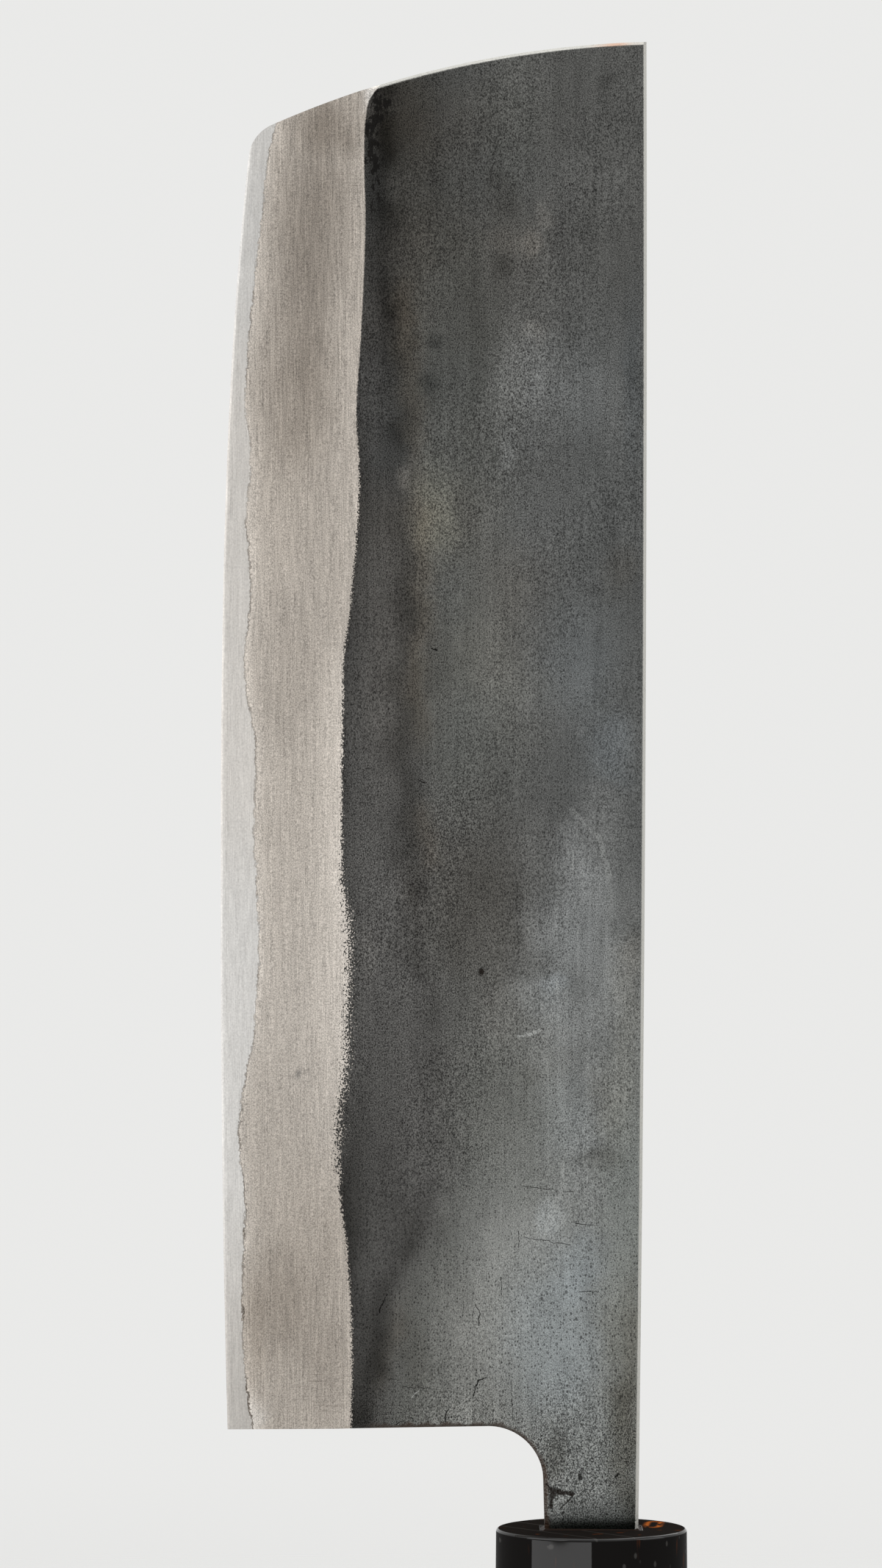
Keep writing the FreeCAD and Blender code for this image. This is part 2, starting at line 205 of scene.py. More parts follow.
# Where green leads red and blue, with its lead in the fifth column
OLIVE = (
    (-16.0, 132.0, 7.0, 26.0, 0.7), (-14.0, 98.0, 7.0, 12.0, 1.0), (-18.8, 120.4, 2.7, 5.6, 1.8),
    (-9.0, 166.0, 4.0, 8.0, 0.6), (-9.0, 50.0, 6.0, 12.0, 0.6), (4.0, 36.0, 3.0, 30.0, 1.2),
)
# Soft patches of the ground bevel, partly its own uneven tone and partly painted light: the pale spot at the
# top end of the shoulder is a painted highlight, and the dark patches at the top of the bevel below it are
# painted shade;
# with the columns of the forged flats' ones
BEVEL_PATCHES_AND_PAINTED_LIGHT = (
    (-33.0, 152.0, 4.5, 14.0, -26, 0), (-35.0, 134.0, 5.0, 9.0, -18, 1), (-31.0, 167.2, 5.0, 3.0, -22, 1),
    (-28.1, 164.0, 1.3, 2.2, -14, 0), (-30.0, 140.0, 2.0, 14.0, 10, 0), (-37.0, 121.0, 4.0, 9.0, 7, 1),
    (-33.0, 60.0, 8.0, 24.0, 7, -1), (-37.0, 26.0, 4.5, 7.0, -20, 1), (-33.0, 36.0, 6.0, 8.0, -1, 1),
    (-31.0, 19.0, 3.0, 6.0, -13, 0), (-30.2, 32.0, 1.6, 9.0, -9, 0), (-26.6, 171.0, 1.0, 1.6, 36, -8),
    (-40.6, 13.4, 1.8, 1.8, 14, -3), (-35.4, 101.0, 3.0, 9.0, -9, 0), (-41.0, 22.0, 2.0, 8.0, -10, 2),
    (-34.6, 54.0, 0.45, 0.7, -42, -6), (-41.5, 14.5, 2.4, 2.4, 8, -2),
)
# Places on the bevel that were rubbed across the grain, with a strength in the fifth column
CROSS_RUBBED = (
    (-29.0, 160.0, 2.5, 2.5, 1.0), (-31.0, 17.0, 5.0, 4.0, 0.9), (-33.0, 96.0, 3.0, 5.0, 0.4),
    (-37.0, 54.0, 3.0, 4.0, 0.4),
)
# Black blots in the scale, in the same way
BLOTTED = ((-25.6, 167.5, 1.2, 6.0, 0.62), (-25.9, 159.5, 0.9, 4.0, 0.45))
# Copper tint on the nose's eased corner, with a strength in the fifth column
COPPER = ((2.8, 176.0, 2.2, 2.5, 0.6),)
# Where pits stand closer or further apart, and where coarse ones lie between them
PITTED = (
    (-9.0, 152.0, 6.0, 8.0, 0.20), (-9.5, 131.0, 5.0, 8.0, 0.20), (-14.0, 80.0, 8.0, 12.0, 0.25),
    (-20.0, 168.0, 6.0, 8.0, -0.15), (-9.0, 34.0, 7.0, 12.0, -0.20),
)
COARSE_PITTED = (
    (-9.5, 130.0, 3.5, 6.0, 0.60), (-12.0, 123.0, 4.0, 4.0, 0.40), (-17.0, 150.0, 5.0, 8.0, 0.25),
    (-2.0, 27.0, 3.5, 9.0, 0.30), (3.5, 20.0, 2.5, 9.0, 0.25), (-11.8, 14.6, 1.4, 1.4, 0.45),
    (-4.5, 14.0, 2.0, 3.0, 0.30), (0.0, 6.0, 6.0, 6.0, 0.25), (-14.0, 80.0, 7.0, 8.0, 0.20),
)
# Patches that only their strength describes, under the names that the finish reads
PATCHED = {"copper": COPPER, "coarse": COARSE_PITTED, "blots": BLOTTED, "cross": CROSS_RUBBED}
# Marks in the flats and the neck, in the same millimetres: start, end, width, and share of brown
LEFT_MARKS = (
    ((-24.3, 27.9), (-24.75, 27.1), 0.07, 0.0), ((-24.75, 27.1), (-25.25, 25.7), 0.11, 0.0),
    ((-13.8, 26.8), (-13.3, 25.7), 0.08, 0.0), ((-13.3, 25.7), (-13.5, 24.3), 0.09, 0.0),
    ((-12.5, 18.1), (-13.3, 17.8), 0.08, 0.0), ((-13.3, 17.8), (-13.8, 17.0), 0.13, 0.0),
    ((-13.8, 17.0), (-14.05, 15.8), 0.08, 0.0), ((-17.05, 14.3), (-17.3, 13.75), 0.12, 0.0),
    ((-17.3, 13.75), (-17.4, 12.7), 0.09, 0.0), ((-20.3, 16.75), (-19.4, 16.9), 0.07, 0.0),
    ((-22.4, 17.0), (-21.0, 16.8), 0.05, 0.0), ((-24.2, 17.85), (-22.9, 17.75), 0.05, 0.0),
    ((-23.3, 12.5), (-22.3, 12.95), 0.07, 0.0), ((-8.3, 40.8), (-4.6, 40.3), 0.05, 0.0),
    ((-3.2, 40.1), (-2.3, 40.1), 0.05, 0.0), ((-2.4, 36.5), (0.1, 36.1), 0.05, 0.0),
    ((-8.0, 34.7), (-2.6, 33.8), 0.05, 0.0), ((-1.5, 28.2), (0.66, 28.2), 0.06, 0.0),
    ((-8.65, 35.4), (-8.65, 33.5), 0.05, 0.0), ((-10.7, 29.9), (-10.7, 27.8), 0.06, 0.0),
    ((-9.6, 17.7), (-9.4, 13.2), 0.04, 0.0), ((-1.42, 6.5), (-1.38, 6.0), 0.30, 0.1),
    ((2.8, 6.2), (3.2, 6.6), 0.16, 0.0), ((-5.4, 5.4), (-4.7, 4.8), 0.12, 0.3),
    ((-4.75, 4.75), (-3.6, 4.4), 0.55, 0.5), ((-3.6, 4.4), (-2.3, 4.25), 0.36, 0.5),
    ((-4.7, 4.6), (-4.85, 2.7), 0.32, 0.5), ((-4.65, 4.5), (-4.5, 4.3), 0.60, 0.5),
    ((-3.8, 2.4), (-2.5, 3.8), 0.09, 0.3), ((-13.15, 66.2), (-13.05, 66.15), 0.45, 0.4),
    ((-19.0, 104.6), (-18.4, 104.4), 0.12, 0.0), ((-20.6, 89.0), (-19.9, 88.6), 0.10, 0.0),
)
# Pale scratches and creases, and painted highlights: the wisp beside the bright spot, 35 to 44 mm up, and the
# arc
# 72 to 86 mm up; with a strength in the last column
PALE_MARKS_AND_HIGHLIGHTS = (
    ((-2.27, 80.6), (-2.27, 77.8), 0.12, 0.35), ((-1.66, 71.8), (-1.66, 65.7), 0.09, 0.30),
    ((-4.08, 65.1), (-4.08, 63.5), 0.25, 0.32), ((-8.6, 58.5), (-7.4, 58.8), 0.24, 0.60),
    ((-7.4, 58.8), (-6.2, 59.2), 0.32, 0.60), ((-3.36, 43.6), (-3.5, 40.8), 0.25, 0.30),
    ((-21.4, 15.7), (-20.5, 16.5), 0.08, 0.60), ((-3.5, 40.8), (-5.7, 34.9), 0.60, 0.22),
    ((-2.4, 85.5), (0.8, 82.3), 0.40, 0.18), ((0.8, 82.3), (2.1, 77.5), 0.45, 0.20),
    ((2.1, 77.5), (2.4, 72.2), 0.45, 0.16),
)
RIGHT_MARKS = (
    ((-20.0, 60.0), (-19.0, 58.2), 0.13, 0.0), ((-8.0, 112.0), (-7.2, 111.2), 0.11, 0.0),
    ((-2.2, 8.0), (-1.8, 7.0), 0.30, 0.6), ((-15.0, 20.0), (-13.8, 19.2), 0.12, 0.0),
    ((1.6, 5.2), (2.4, 4.6), 0.26, 0.4),
)


def linear(display):
    """Linear light of display values from 0 to 255."""
    part = np.clip(np.asarray(display, dtype=float) / 255, 0, 1)
    return np.where(part <= 0.04045, part / 12.92, ((part + 0.055) / 1.055) ** 2.4)


def srgb(red, green, blue):
    """Linear colour of three display values from 0 to 255."""
    return tuple(linear([red, green, blue]).tolist())


def size(name, description, default):
    """A length that a user may change."""
    return bpy.props.FloatProperty(
        name=name, description=description, default=default, min=0, unit="LENGTH", precision=5
    )


def share(name, description, default):
    """A plain share from 0 to 1."""
    return bpy.props.FloatProperty(
        name=name, description=description, default=default, min=0, max=1, subtype="FACTOR"
    )


def colour(name, description, default):
    """A linear colour."""
    return bpy.props.FloatVectorProperty(
        name=name, description=description, default=default, size=3, min=0, max=1, subtype="COLOR"
    )


class NAKIRI_PG_blade(bpy.types.PropertyGroup):
    """Sizes of the blade, as in the solids."""

    neck_length: size("Neck length", "Ferrule face to heel corner", 11.7 * MM)
    neck_height: size("Neck height", "Neck at the ferrule face, edge side to spine side", 11.1 * MM)
    neck_flare: size("Neck flare", "How much the neck widens towards the heel", 0.35 * MM)
    neck_fillet: size("Neck fillet", "Radius between the heel and the neck", 6.5 * MM)
    heel_slant: size("Heel slant", "How much higher the heel line lies at the neck", 0.65 * MM)
    heel_lift: size("Heel lift", "The edge at the heel, against its belly", 0.8 * MM)
    nose_lift: size("Nose lift", "The edge at the nose corner, against its belly", 3.6 * MM)
    nose_bow: size("Nose bow", "Rise of the nose's arc over its chord", 2.45 * MM)
    nose_corner_radius: size("Nose corner", "Radius between the edge and the nose", 4.6 * MM)
    belly_share: share("Belly place", "Place of the belly along the blade", 0.36)
    nose_corner_share: share("Nose corner place", "Place of the nose corner along the blade", 0.934)
    spine_fall: size("Spine fall", "Drop of the spine from the nose to the neck", 1.0 * MM)
    spine_bow: size("Spine bow", "Rise of the spine's arc over its chord", 0.35 * MM)
    heel_thickness: size("Heel thickness", "Spine's thickness at the heel", 3.6 * MM)
    tip_thickness: size("Tip thickness", "Spine's thickness at the nose", 2.4 * MM)
    shoulder_thinning: size("Shoulder thinning", "How much the flats thin towards the bevel", 0.5 * MM)
    edge_thickness: size("Edge thickness", "Thickness behind the sharpened edge", 0.16 * MM)
    apex_thickness: size("Apex thickness", "Thickness of the very edge", 0.06 * MM)
    sharpened_width: size("Sharpened width", "Width of the sharpened strip", 0.25 * MM)
    eased_corner: size("Eased corner", "Chamfer round the flats", 0.35 * MM)
    bevel_width: size("Bevel width", "Edge to the shoulder of the ground bevel", 14.6 * MM)
    weld_setback: size("Weld setback", "Edge to the line where the core goes under the iron", 2.8 * MM)
    tang_root_height: size("Tang root height", "Tang at the back of the ferrule's front wall", 9.0 * MM)
    tang_tip_height: size("Tang tip height", "Tang at its end", 5.0 * MM)
    tang_tip_thickness: size("Tang tip thickness", "Tang's thickness at its end", 2.0 * MM)
    forging_relief: size("Forging relief", "Depth of the hammer's waves in the flats", 0.03 * MM)


class NAKIRI_PG_handle(bpy.types.PropertyGroup):
    """Sizes of the handle and its ferrule."""

    butt_height: size("Butt height", "Oval at the butt, edge side to spine side", 25.0 * MM)
    butt_width: size("Butt width", "Oval at the butt, side to side", 21.0 * MM)
    face_height: size("Face height", "Oval at the ferrule face, edge side to spine side", 22.7 * MM)
    face_width: size("Face width", "Oval at the ferrule face, side to side", 19.0 * MM)
    butt_rounding: size("Butt rounding", "Radius round the butt", 2.0 * MM)
    face_rounding: size("Face rounding", "Radius round the ferrule's face", 0.4 * MM)
    mouth_depth: size("Mouth depth", "The ferrule's solid front wall", 8.0 * MM)
    glue_gap: size("Glue gap", "Between the dowel and its sockets", 0.05 * MM)
    joint_groove: size("Joint groove", "Fine groove where horn meets wood", 0.12 * MM)
    lip_rounding: size("Lip rounding", "Radius round the ferrule's slot", 0.2 * MM)
    meniscus: size("Meniscus", "How far the seal creeps up the neck", 0.15 * MM)


class NAKIRI_PG_finish(bpy.types.PropertyGroup):
    """Colours of the finishes."""

    weld_line: colour("Weld line", "Dark line where core and iron meet", srgb(104, 96, 88))
    worn_corner: colour("Worn corner", "Bright iron on the eased corners", srgb(186, 185, 180))
    copper: colour("Copper", "Tint on the nose's eased corner", srgb(196, 142, 106))
    # the pale colour of the scratches, and of the painted highlight streaks
    scratch_and_highlight: colour("Scratch", "Pale scratches and creases in the scale", srgb(182, 184, 182))
    pit: colour("Pits", "Black pits in the forge scale", srgb(24, 23, 22))
    patina: colour("Patina", "Brown bloom in corners and folds", srgb(60, 44, 34))
    horn: colour("Horn", "Polished black horn", srgb(13, 11, 10))
    # paler than the polished horn: partly the matt cut's own grey, partly painted sheen, as the horn's shader
    # has no specular
    horn_end_and_sheen: colour("Horn end", "Cut end of the horn, rubbed matt", srgb(34, 31, 29))
    horn_streak: colour("Horn streak", "Amber streaks in the horn", srgb(120, 62, 24))
    fleck: colour("Flecks", "Pale flecks in the horn", (0.5, 0.48, 0.45))
    amber: colour("Amber", "Amber spot on the horn's face", srgb(176, 96, 42))
    wood: colour("Handle wood", "Pale, fine-grained handle wood", srgb(203, 172, 130))
    wood_grain: colour("Handle grain", "Darker grain of the handle wood", srgb(164, 126, 84))
    dowel: colour("Dowel wood", "Plain wood inside the handle", srgb(196, 158, 112))
    dowel_grain: colour("Dowel grain", "Darker grain of the dowel", srgb(158, 116, 74))
    resin: colour("Resin", "Dark resin round the tang", srgb(36, 26, 20))


class NAKIRI_PG_stage(bpy.types.PropertyGroup):
    """Light, floor and camera."""

    background: colour("Background", "Pale floor and backdrop", (0.82, 0.82, 0.81))
    floor_radius: size("Floor radius", "Radius of the floor's disc", 1.2)
    floor_drop: size("Floor drop", "Floor below the butt", 0.2 * MM)
    camera_distance: size("Camera distance", "Camera to the blade's plane", 0.65)
    frame_height: size("Frame height", "Height of the picture at the blade's plane", 186.6 * MM)
    frame_rise: size("Frame rise", "Picture's centre above the ferrule's face", 88.5 * MM)
    frame_shift: size("Frame shift", "Picture's centre towards the edge from the handle's axis", 17.9 * MM)
    clip_start: size("Clip start", "Nearest distance that the camera sees", 10.0 * MM)
    room_light: share("Room light", "Strength of the backdrop's light, as a share of its look", 0.75)


def fade(value, low, high):
    """Smoothstep: 0 below low, 1 above high, and 3t^2 - 2t^3 between them."""
    t = np.clip((value - low) / (high - low), 0, 1)
    return t * t * (3 - 2 * t)


def wander(rows, place):
    """Smooth line through (place, value) rows: cubic Hermite spans, with slopes from the neighbours."""
    knots, values = np.array(rows).T
    slopes = np.gradient(values, knots)
    place = np.clip(place, knots[0], knots[-1])
    i = np.clip(np.searchsorted(knots, place) - 1, 0, len(knots) - 2)
    width = knots[i + 1] - knots[i]
    t = (place - knots[i]) / width
    rise = t * t * (3 - 2 * t)
    bend = width * t * (1 - t) * ((1 - t) * slopes[i] - t * slopes[i + 1])
    return values[i] * (1 - rise) + values[i + 1] * rise + bend


def along(name, up):
    """A value that runs along the blade: its start plus change * smoothstep over each of its steps."""
    start, *steps = ALONG[name]
    return start + sum(change * fade(up, low, high) for low, high, change in steps)


def waves(x, z, cell, seed):
    """Smooth random waves from -1 to 1: random values on a square lattice, blended by smoothstep."""
    lattice = 128
    values = np.random.default_rng(seed).uniform(-1, 1, (lattice, lattice))
    i, j = np.floor(x / cell).astype(int), np.floor(z / cell).astype(int)
    u, v = fade(x / cell - i, 0, 1), fade(z / cell - j, 0, 1)
    i0, i1, j0, j1 = i % lattice, (i + 1) % lattice, j % lattice, (j + 1) % lattice
    low = values[i0, j0] * (1 - u) + values[i1, j0] * u
    high = values[i0, j1] * (1 - u) + values[i1, j1] * u
    return low * (1 - v) + high * v


def ripples(name, x, z, side=0):
    """Sum of height * waves over the rows of one kind of ripple, with the side added to each seed."""
    return sum(
        height * waves(x * squeeze, z, cell * MM, seed + side)
        for height, cell, squeeze, seed in RIPPLES[name]
    )


def patches(rows, x, z, column=4):
    """Sum of soft patches: each adds strength * exp(-d^3) at d half sizes from its middle.

    The patches are bent by ripples, and a column of the rows holds their strengths.
    """
    across = x / MM + ripples("patch_across", x, z)
    up = (z - FACE_Z) / MM + ripples("patch_up", x, z)
    total = np.zeros_like(across)
    for row in rows:
        cx, cz, rx, rz = row[:4]
        far = ((across - cx) / rx) ** 2 + ((up - cz) / rz) ** 2
        total += row[column] * np.exp(-(far ** 1.5))
    return total


def display_colour(tone, warmth, green):
    """Linear colours from a display tone of 0 to 255, its warmth, red less blue, and a lead of green."""
    return linear(np.stack([tone + warmth / 2, tone + green, tone - warmth / 2], -1))


class Blade:
    """Outline and thickness of the blade as functions of place, on whole arrays.

    Place runs from 0 at the heel to 1 at the nose, and side is LEFT or RIGHT.
    """

    def __init__(self, shape):
        self.shape = shape
        self.heel_z = FACE_Z + shape.neck_length
        self.length = NOSE_Z - self.heel_z
        self.neck_top_x = SPINE_X - shape.spine_fall
        self.neck_bottom_x = self.neck_top_x - shape.neck_height
        self.round_nose()
        self.round_neck()

    def round_nose(self):
        """The nose's circle through its chord's ends, and the small circle that touches it and the edge."""
        shape = self.shape
        corner = np.array([self.edge_x(shape.nose_corner_share), self.z_at(shape.nose_corner_share)])
        chord = np.array([SPINE_X, NOSE_Z]) - corner
        half = np.hypot(*chord) / 2
        outward = np.array([-chord[1], chord[0]]) / (2 * half)
        self.nose_radius = (half ** 2 + shape.nose_bow ** 2) / (2 * shape.nose_bow)
        self.nose_centre = corner + chord / 2 + outward * (shape.nose_bow - self.nose_radius)
        nearest, tries = 0.8, 8001
        place = np.linspace(nearest, 1.0, tries) * shape.nose_corner_share
        x, z = self.edge_x(place), self.z_at(place)
        slope = np.gradient(x, z)
        inward = np.stack([np.ones_like(slope), -slope], -1) / np.hypot(1, slope)[:, None]
        centres = np.stack([x, z], -1) + inward * shape.nose_corner_radius
        reach = np.hypot(*(centres - self.nose_centre).T)
        best = np.argmin(np.abs(self.nose_radius - shape.nose_corner_radius - reach))
        self.corner_start = np.array([x[best], z[best]])
        self.corner_centre = centres[best]
        away = (self.corner_centre - self.nose_centre) / reach[best]
        self.corner_end = self.nose_centre + away * self.nose_radius

    def round_neck(self):
        """The fillet's circle, which touches the heel line from below and the neck's side from outside."""
        shape = self.shape
        self.heel_corner = np.array([self.edge_x(0.0), self.heel_z])
        bend = np.array([self.neck_bottom_x - shape.neck_flare, self.heel_z + shape.heel_slant])
        neck_end = np.array([self.neck_bottom_x, FACE_Z])
        lines = np.array([bend - self.heel_corner, neck_end - bend])
        along = lines / np.hypot(*lines.T)[:, None]
        normals = np.stack([along[:, 1], -along[:, 0]], -1)
        self.fillet_centre = np.linalg.solve(normals, normals @ bend + shape.neck_fillet)
        self.fillet_start, self.fillet_end = self.fillet_centre - shape.neck_fillet * normals
        self.heel_slope = lines[0, 1] / lines[0, 0]

    def place_at(self, z):
        return (z - self.heel_z) / self.length

    def z_at(self, place):
        return self.heel_z + self.length * place

    def edge_x(self, place):
        """X of the edge: a parabola from belly to heel and a cubic from belly to nose."""
        shape = self.shape
        place = np.clip(place, 0, 1)
        to_heel = (shape.belly_share - place) / shape.belly_share
        to_nose = (place - shape.belly_share) / (shape.nose_corner_share - shape.belly_share)
        return BELLY_X + np.where(to_heel > 0, shape.heel_lift * to_heel ** 2, shape.nose_lift * to_nose ** 3)

    def spine_x(self, z):
        """X of the spine: its chord and a parabola's bow."""
        t = (z - FACE_Z) / (NOSE_Z - FACE_Z)
        return self.neck_top_x + self.shape.spine_fall * t + 4 * self.shape.spine_bow * t * (1 - t)

    def neck_x(self, z):
        """X of the neck's edge side."""
        rise = (z - FACE_Z) / (self.shape.neck_length + self.shape.heel_slant)
        return self.neck_bottom_x - self.shape.neck_flare * rise

    def top_z(self, x):
        """Z of the nose over x: level at the edge, then the corner's circle, then the nose's circle."""
        corner = self.shape.nose_corner_radius ** 2 - (x - self.corner_centre[0]) ** 2
        nose = self.nose_radius ** 2 - (x - self.nose_centre[0]) ** 2
        corner_z = self.corner_centre[1] + np.sqrt(np.maximum(corner, 0))
        nose_z = self.nose_centre[1] + np.sqrt(np.maximum(nose, 0))
        rounded = np.where(x < self.corner_end[0], corner_z, nose_z)
        return np.where(x < self.corner_start[0], self.corner_start[1], rounded)

    def heel_line(self, x):
        return self.heel_z + self.heel_slope * (x - self.heel_corner[0])

    def low_z(self, x):
        """Z of the blade's lower border over x: the heel line, the fillet, then the top of the neck."""
        drop = self.shape.neck_fillet ** 2 - (x - self.fillet_centre[0]) ** 2
        arc = self.fillet_centre[1] + np.sqrt(np.maximum(drop, 0))
        beyond = np.where(x < self.fillet_end[0], arc, self.fillet_end[1])
        return np.where(x < self.fillet_start[0], self.heel_line(x), beyond)

    def line_place(self, side, z):
        """Place along the wavering lines: the right side's waver in the opposite order."""
        place = np.clip(self.place_at(z), 0, 1)
        return place if side == LEFT else 1 - place

    def bevel_at(self, side, z):
        return self.shape.bevel_width * wander(BEVEL_WIDTH_SHARES, self.line_place(side, z))

    def weld_at(self, side, z):
        return self.shape.weld_setback * wander(WELD_SETBACK_SHARES, self.line_place(side, z))

    def shoulder_x(self, side, z):
        return self.edge_x(self.place_at(z)) + self.bevel_at(side, z)

    def weld_x(self, side, z):
        return self.edge_x(self.place_at(z)) + self.weld_at(side, z)

    def flat_half(self, x, z):
        """Half thickness of the flats, a plane that falls off to the nose and to the bevel."""
        shape = self.shape
        spine = shape.heel_thickness - (shape.heel_thickness - shape.tip_thickness) * self.place_at(z)
        across = (SPINE_X - x) / (SPINE_X - BELLY_X - shape.bevel_width)
        return (spine - shape.shoulder_thinning * across) / 2

    def tang_half(self, x, z):
        """Half thickness of the tang, which thins evenly from the ferrule's face to its end."""
        fall = self.flat_half(0.0, FACE_Z) - self.shape.tang_tip_thickness / 2
        return self.flat_half(x, FACE_Z) - fall * (FACE_Z - z) / (FACE_Z - TANG_END_Z)

    def bevel_half(self, side, x, z):
        """Half thickness of the ground bevel: a straight ruling from the sharpened strip to the flats."""
        shape = self.shape
        z = np.maximum(z, self.heel_z)
        edge = self.edge_x(self.place_at(z))
        width = self.bevel_at(side, z)
        shoulder = self.flat_half(edge + width, z)
        rise = (shoulder - shape.edge_thickness / 2) / (width - shape.sharpened_width)
        return shape.edge_thickness / 2 + rise * (x - edge - shape.sharpened_width)

    def core_half(self, side, z):
        """Half thickness of the core, which meets the bevel's surface at the weld line."""
        z = np.maximum(z, self.heel_z)
        return self.bevel_half(side, self.weld_x(side, z), z)

    def strip_half(self, side, x, z):
        """Half thickness at the edge: the sharpened strip's wedge, then the bevel, up to the core's own."""
        shape = self.shape
        slope = (shape.edge_thickness - shape.apex_thickness) / 2 / shape.sharpened_width
        wedge = shape.apex_thickness / 2 + slope * np.maximum(x - self.edge_x(self.place_at(z)), 0)
        return np.minimum(np.minimum(wedge, self.bevel_half(side, x, z)), self.core_half(side, z))

    def low_distance(self, x, z):
        """Distance from the heel line, the fillet and the neck's edge side."""
        fillet = np.hypot(x - self.fillet_centre[0], z - self.fillet_centre[1]) - self.shape.neck_fillet
        beyond = np.where(z > self.fillet_end[1], fillet, x - self.neck_x(z))
        return np.where(x < self.fillet_start[0], z - self.heel_line(x), beyond)

    def rim_distance(self, x, z):
        """Distance from the outline of spine, nose, heel and neck."""
        spine = self.spine_x(z) - x
        nose = self.nose_radius - np.hypot(x - self.nose_centre[0], z - self.nose_centre[1])
        return np.minimum(np.minimum(spine, nose), self.low_distance(x, z))

    def skin_half(self, side, x, z):
        """Half thickness of the cladding's outer skin: bevel, forged flat with waves, and eased corners."""
        shape = self.shape
        calm_reach, corner_reach = 3 * MM, 2 * MM
        beyond = x - self.shoulder_x(side, z)
        calm = fade(beyond, 0, calm_reach) * fade(z - FACE_Z, 0, calm_reach)
        flat = self.flat_half(x, z) + shape.forging_relief * ripples("hammer", x, z, side) * calm
        half = np.where(beyond < 0, self.bevel_half(side, x, z), flat)
        eased = np.clip(shape.eased_corner - self.rim_distance(x, z), 0, shape.eased_corner)
        half = half - eased * fade(beyond, -corner_reach, 0)
        return np.where(z < FACE_Z, self.tang_half(x, z), half)


# Lines across the blade that a grid's columns follow, as shares of edge, weld, shoulder, spine and a metre
EDGE, WELD, SHOULDER, SPINE, METRE = np.eye(5)


def even(steps):
    """Shares from 0 up to 1 in even steps, without the last."""
    return np.linspace(0, 1, steps, endpoint=False)


def stretch(start, end, shares):
    """Columns between two lines: start * (1 - share) + end * share."""
    return start + (end - start) * np.asarray(shares)[:, None]


def column_x(blade, side, columns, z):
    """X of each column at its own Z: the sum of its shares of the lines across the blade."""
    edge, weld, shoulder, spine, metre = columns.T
    return (edge * blade.edge_x(blade.place_at(z)) + weld * blade.weld_x(side, z)
            + shoulder * blade.shoulder_x(side, z) + spine * blade.spine_x(z) + metre)


def halve(inside, low, high):
    """Where a test on whole arrays turns from true to false between low and high, by halving the span."""
    rounds = 48
    for _ in range(rounds):
        middle = (low + high) / 2
        within = inside(middle)
        low, high = np.where(within, middle, low), np.where(within, high, middle)
    return (low + high) / 2


def blade_grid(blade, side, columns):
    """X and Z of a grid over the blade: columns along its lines, rows from the heel's border to the nose.

    Each column ends where it crosses the outline, and its next points lie an eased corner inside it.
    """
    ease = blade.shape.eased_corner
    middle = np.full((1, len(columns)), blade.z_at(0.5))
    top = halve(lambda z: z < blade.top_z(column_x(blade, side, columns, z)), middle, middle * 0 + NOSE_Z)
    low = halve(lambda z: z > blade.low_z(column_x(blade, side, columns, z)), middle, middle * 0 + FACE_Z)
    shares = np.linspace(0, 1, BLADE_ROWS)[:, None]
    z = np.concatenate([low, low + ease + (top - low - 2 * ease) * shares, top])
    return column_x(blade, side, columns, z), z


def neck_grid(blade, mouth_depth, top_x):
    """X and Z of the neck and tang below the fillet, with the columns of the grid above.

    Rows run from the tang's end to the fillet, and each column keeps its share of the width.
    """
    shape = blade.shape
    wall_z = FACE_Z - mouth_depth
    tang_rows, mouth_rows, neck_rows = 24, 10, 16
    z = np.concatenate([
        np.linspace(TANG_END_Z, wall_z, tang_rows, endpoint=False),
        np.linspace(wall_z, FACE_Z, mouth_rows, endpoint=False),
        np.linspace(FACE_Z, blade.fillet_end[1], neck_rows),
    ])
    stations = [TANG_END_Z, wall_z, FACE_Z]
    root, tip = shape.tang_root_height / 2, shape.tang_tip_height / 2
    low = np.where(z > FACE_Z, blade.neck_x(z), np.interp(z, stations, [-tip, -root, blade.neck_bottom_x]))
    high = np.where(z > FACE_Z, blade.spine_x(z), np.interp(z, stations, [tip, root, blade.neck_top_x]))
    across = (top_x - top_x[0]) / (top_x[-1] - top_x[0])
    x = low[:, None] + (high - low)[:, None] * across
    x[-1] = top_x
    return x, np.repeat(z[:, None], len(top_x), axis=1)


def back_columns(blade, fillet_steps, neck_steps):
    """Columns from the fillet's start to the spine, even in angle round the fillet."""
    ends = np.array([blade.fillet_start, blade.fillet_end]) - blade.fillet_centre
    angles = np.linspace(*np.arctan2(ends[:, 1], ends[:, 0]), fillet_steps, endpoint=False)
    fillet = METRE * (blade.fillet_centre[0] + blade.shape.neck_fillet * np.cos(angles))[:, None]
    inner = SPINE - METRE * blade.shape.eased_corner
    neck = stretch(METRE * blade.fillet_end[0], inner, np.linspace(0, 1, neck_steps))
    return np.concatenate([fillet, neck, SPINE[None]])


def points_of(x, y, z):
    return np.stack(np.broadcast_arrays(x, y, z), axis=-1)


def quads(rows, columns):
    """Corner numbers of a grid's cells."""
    corner = np.arange(rows * columns).reshape(rows, columns)
    cells = np.stack([corner[:-1, :-1], corner[:-1, 1:], corner[1:, 1:], corner[1:, :-1]], axis=-1)
    return cells.reshape(-1, 4)


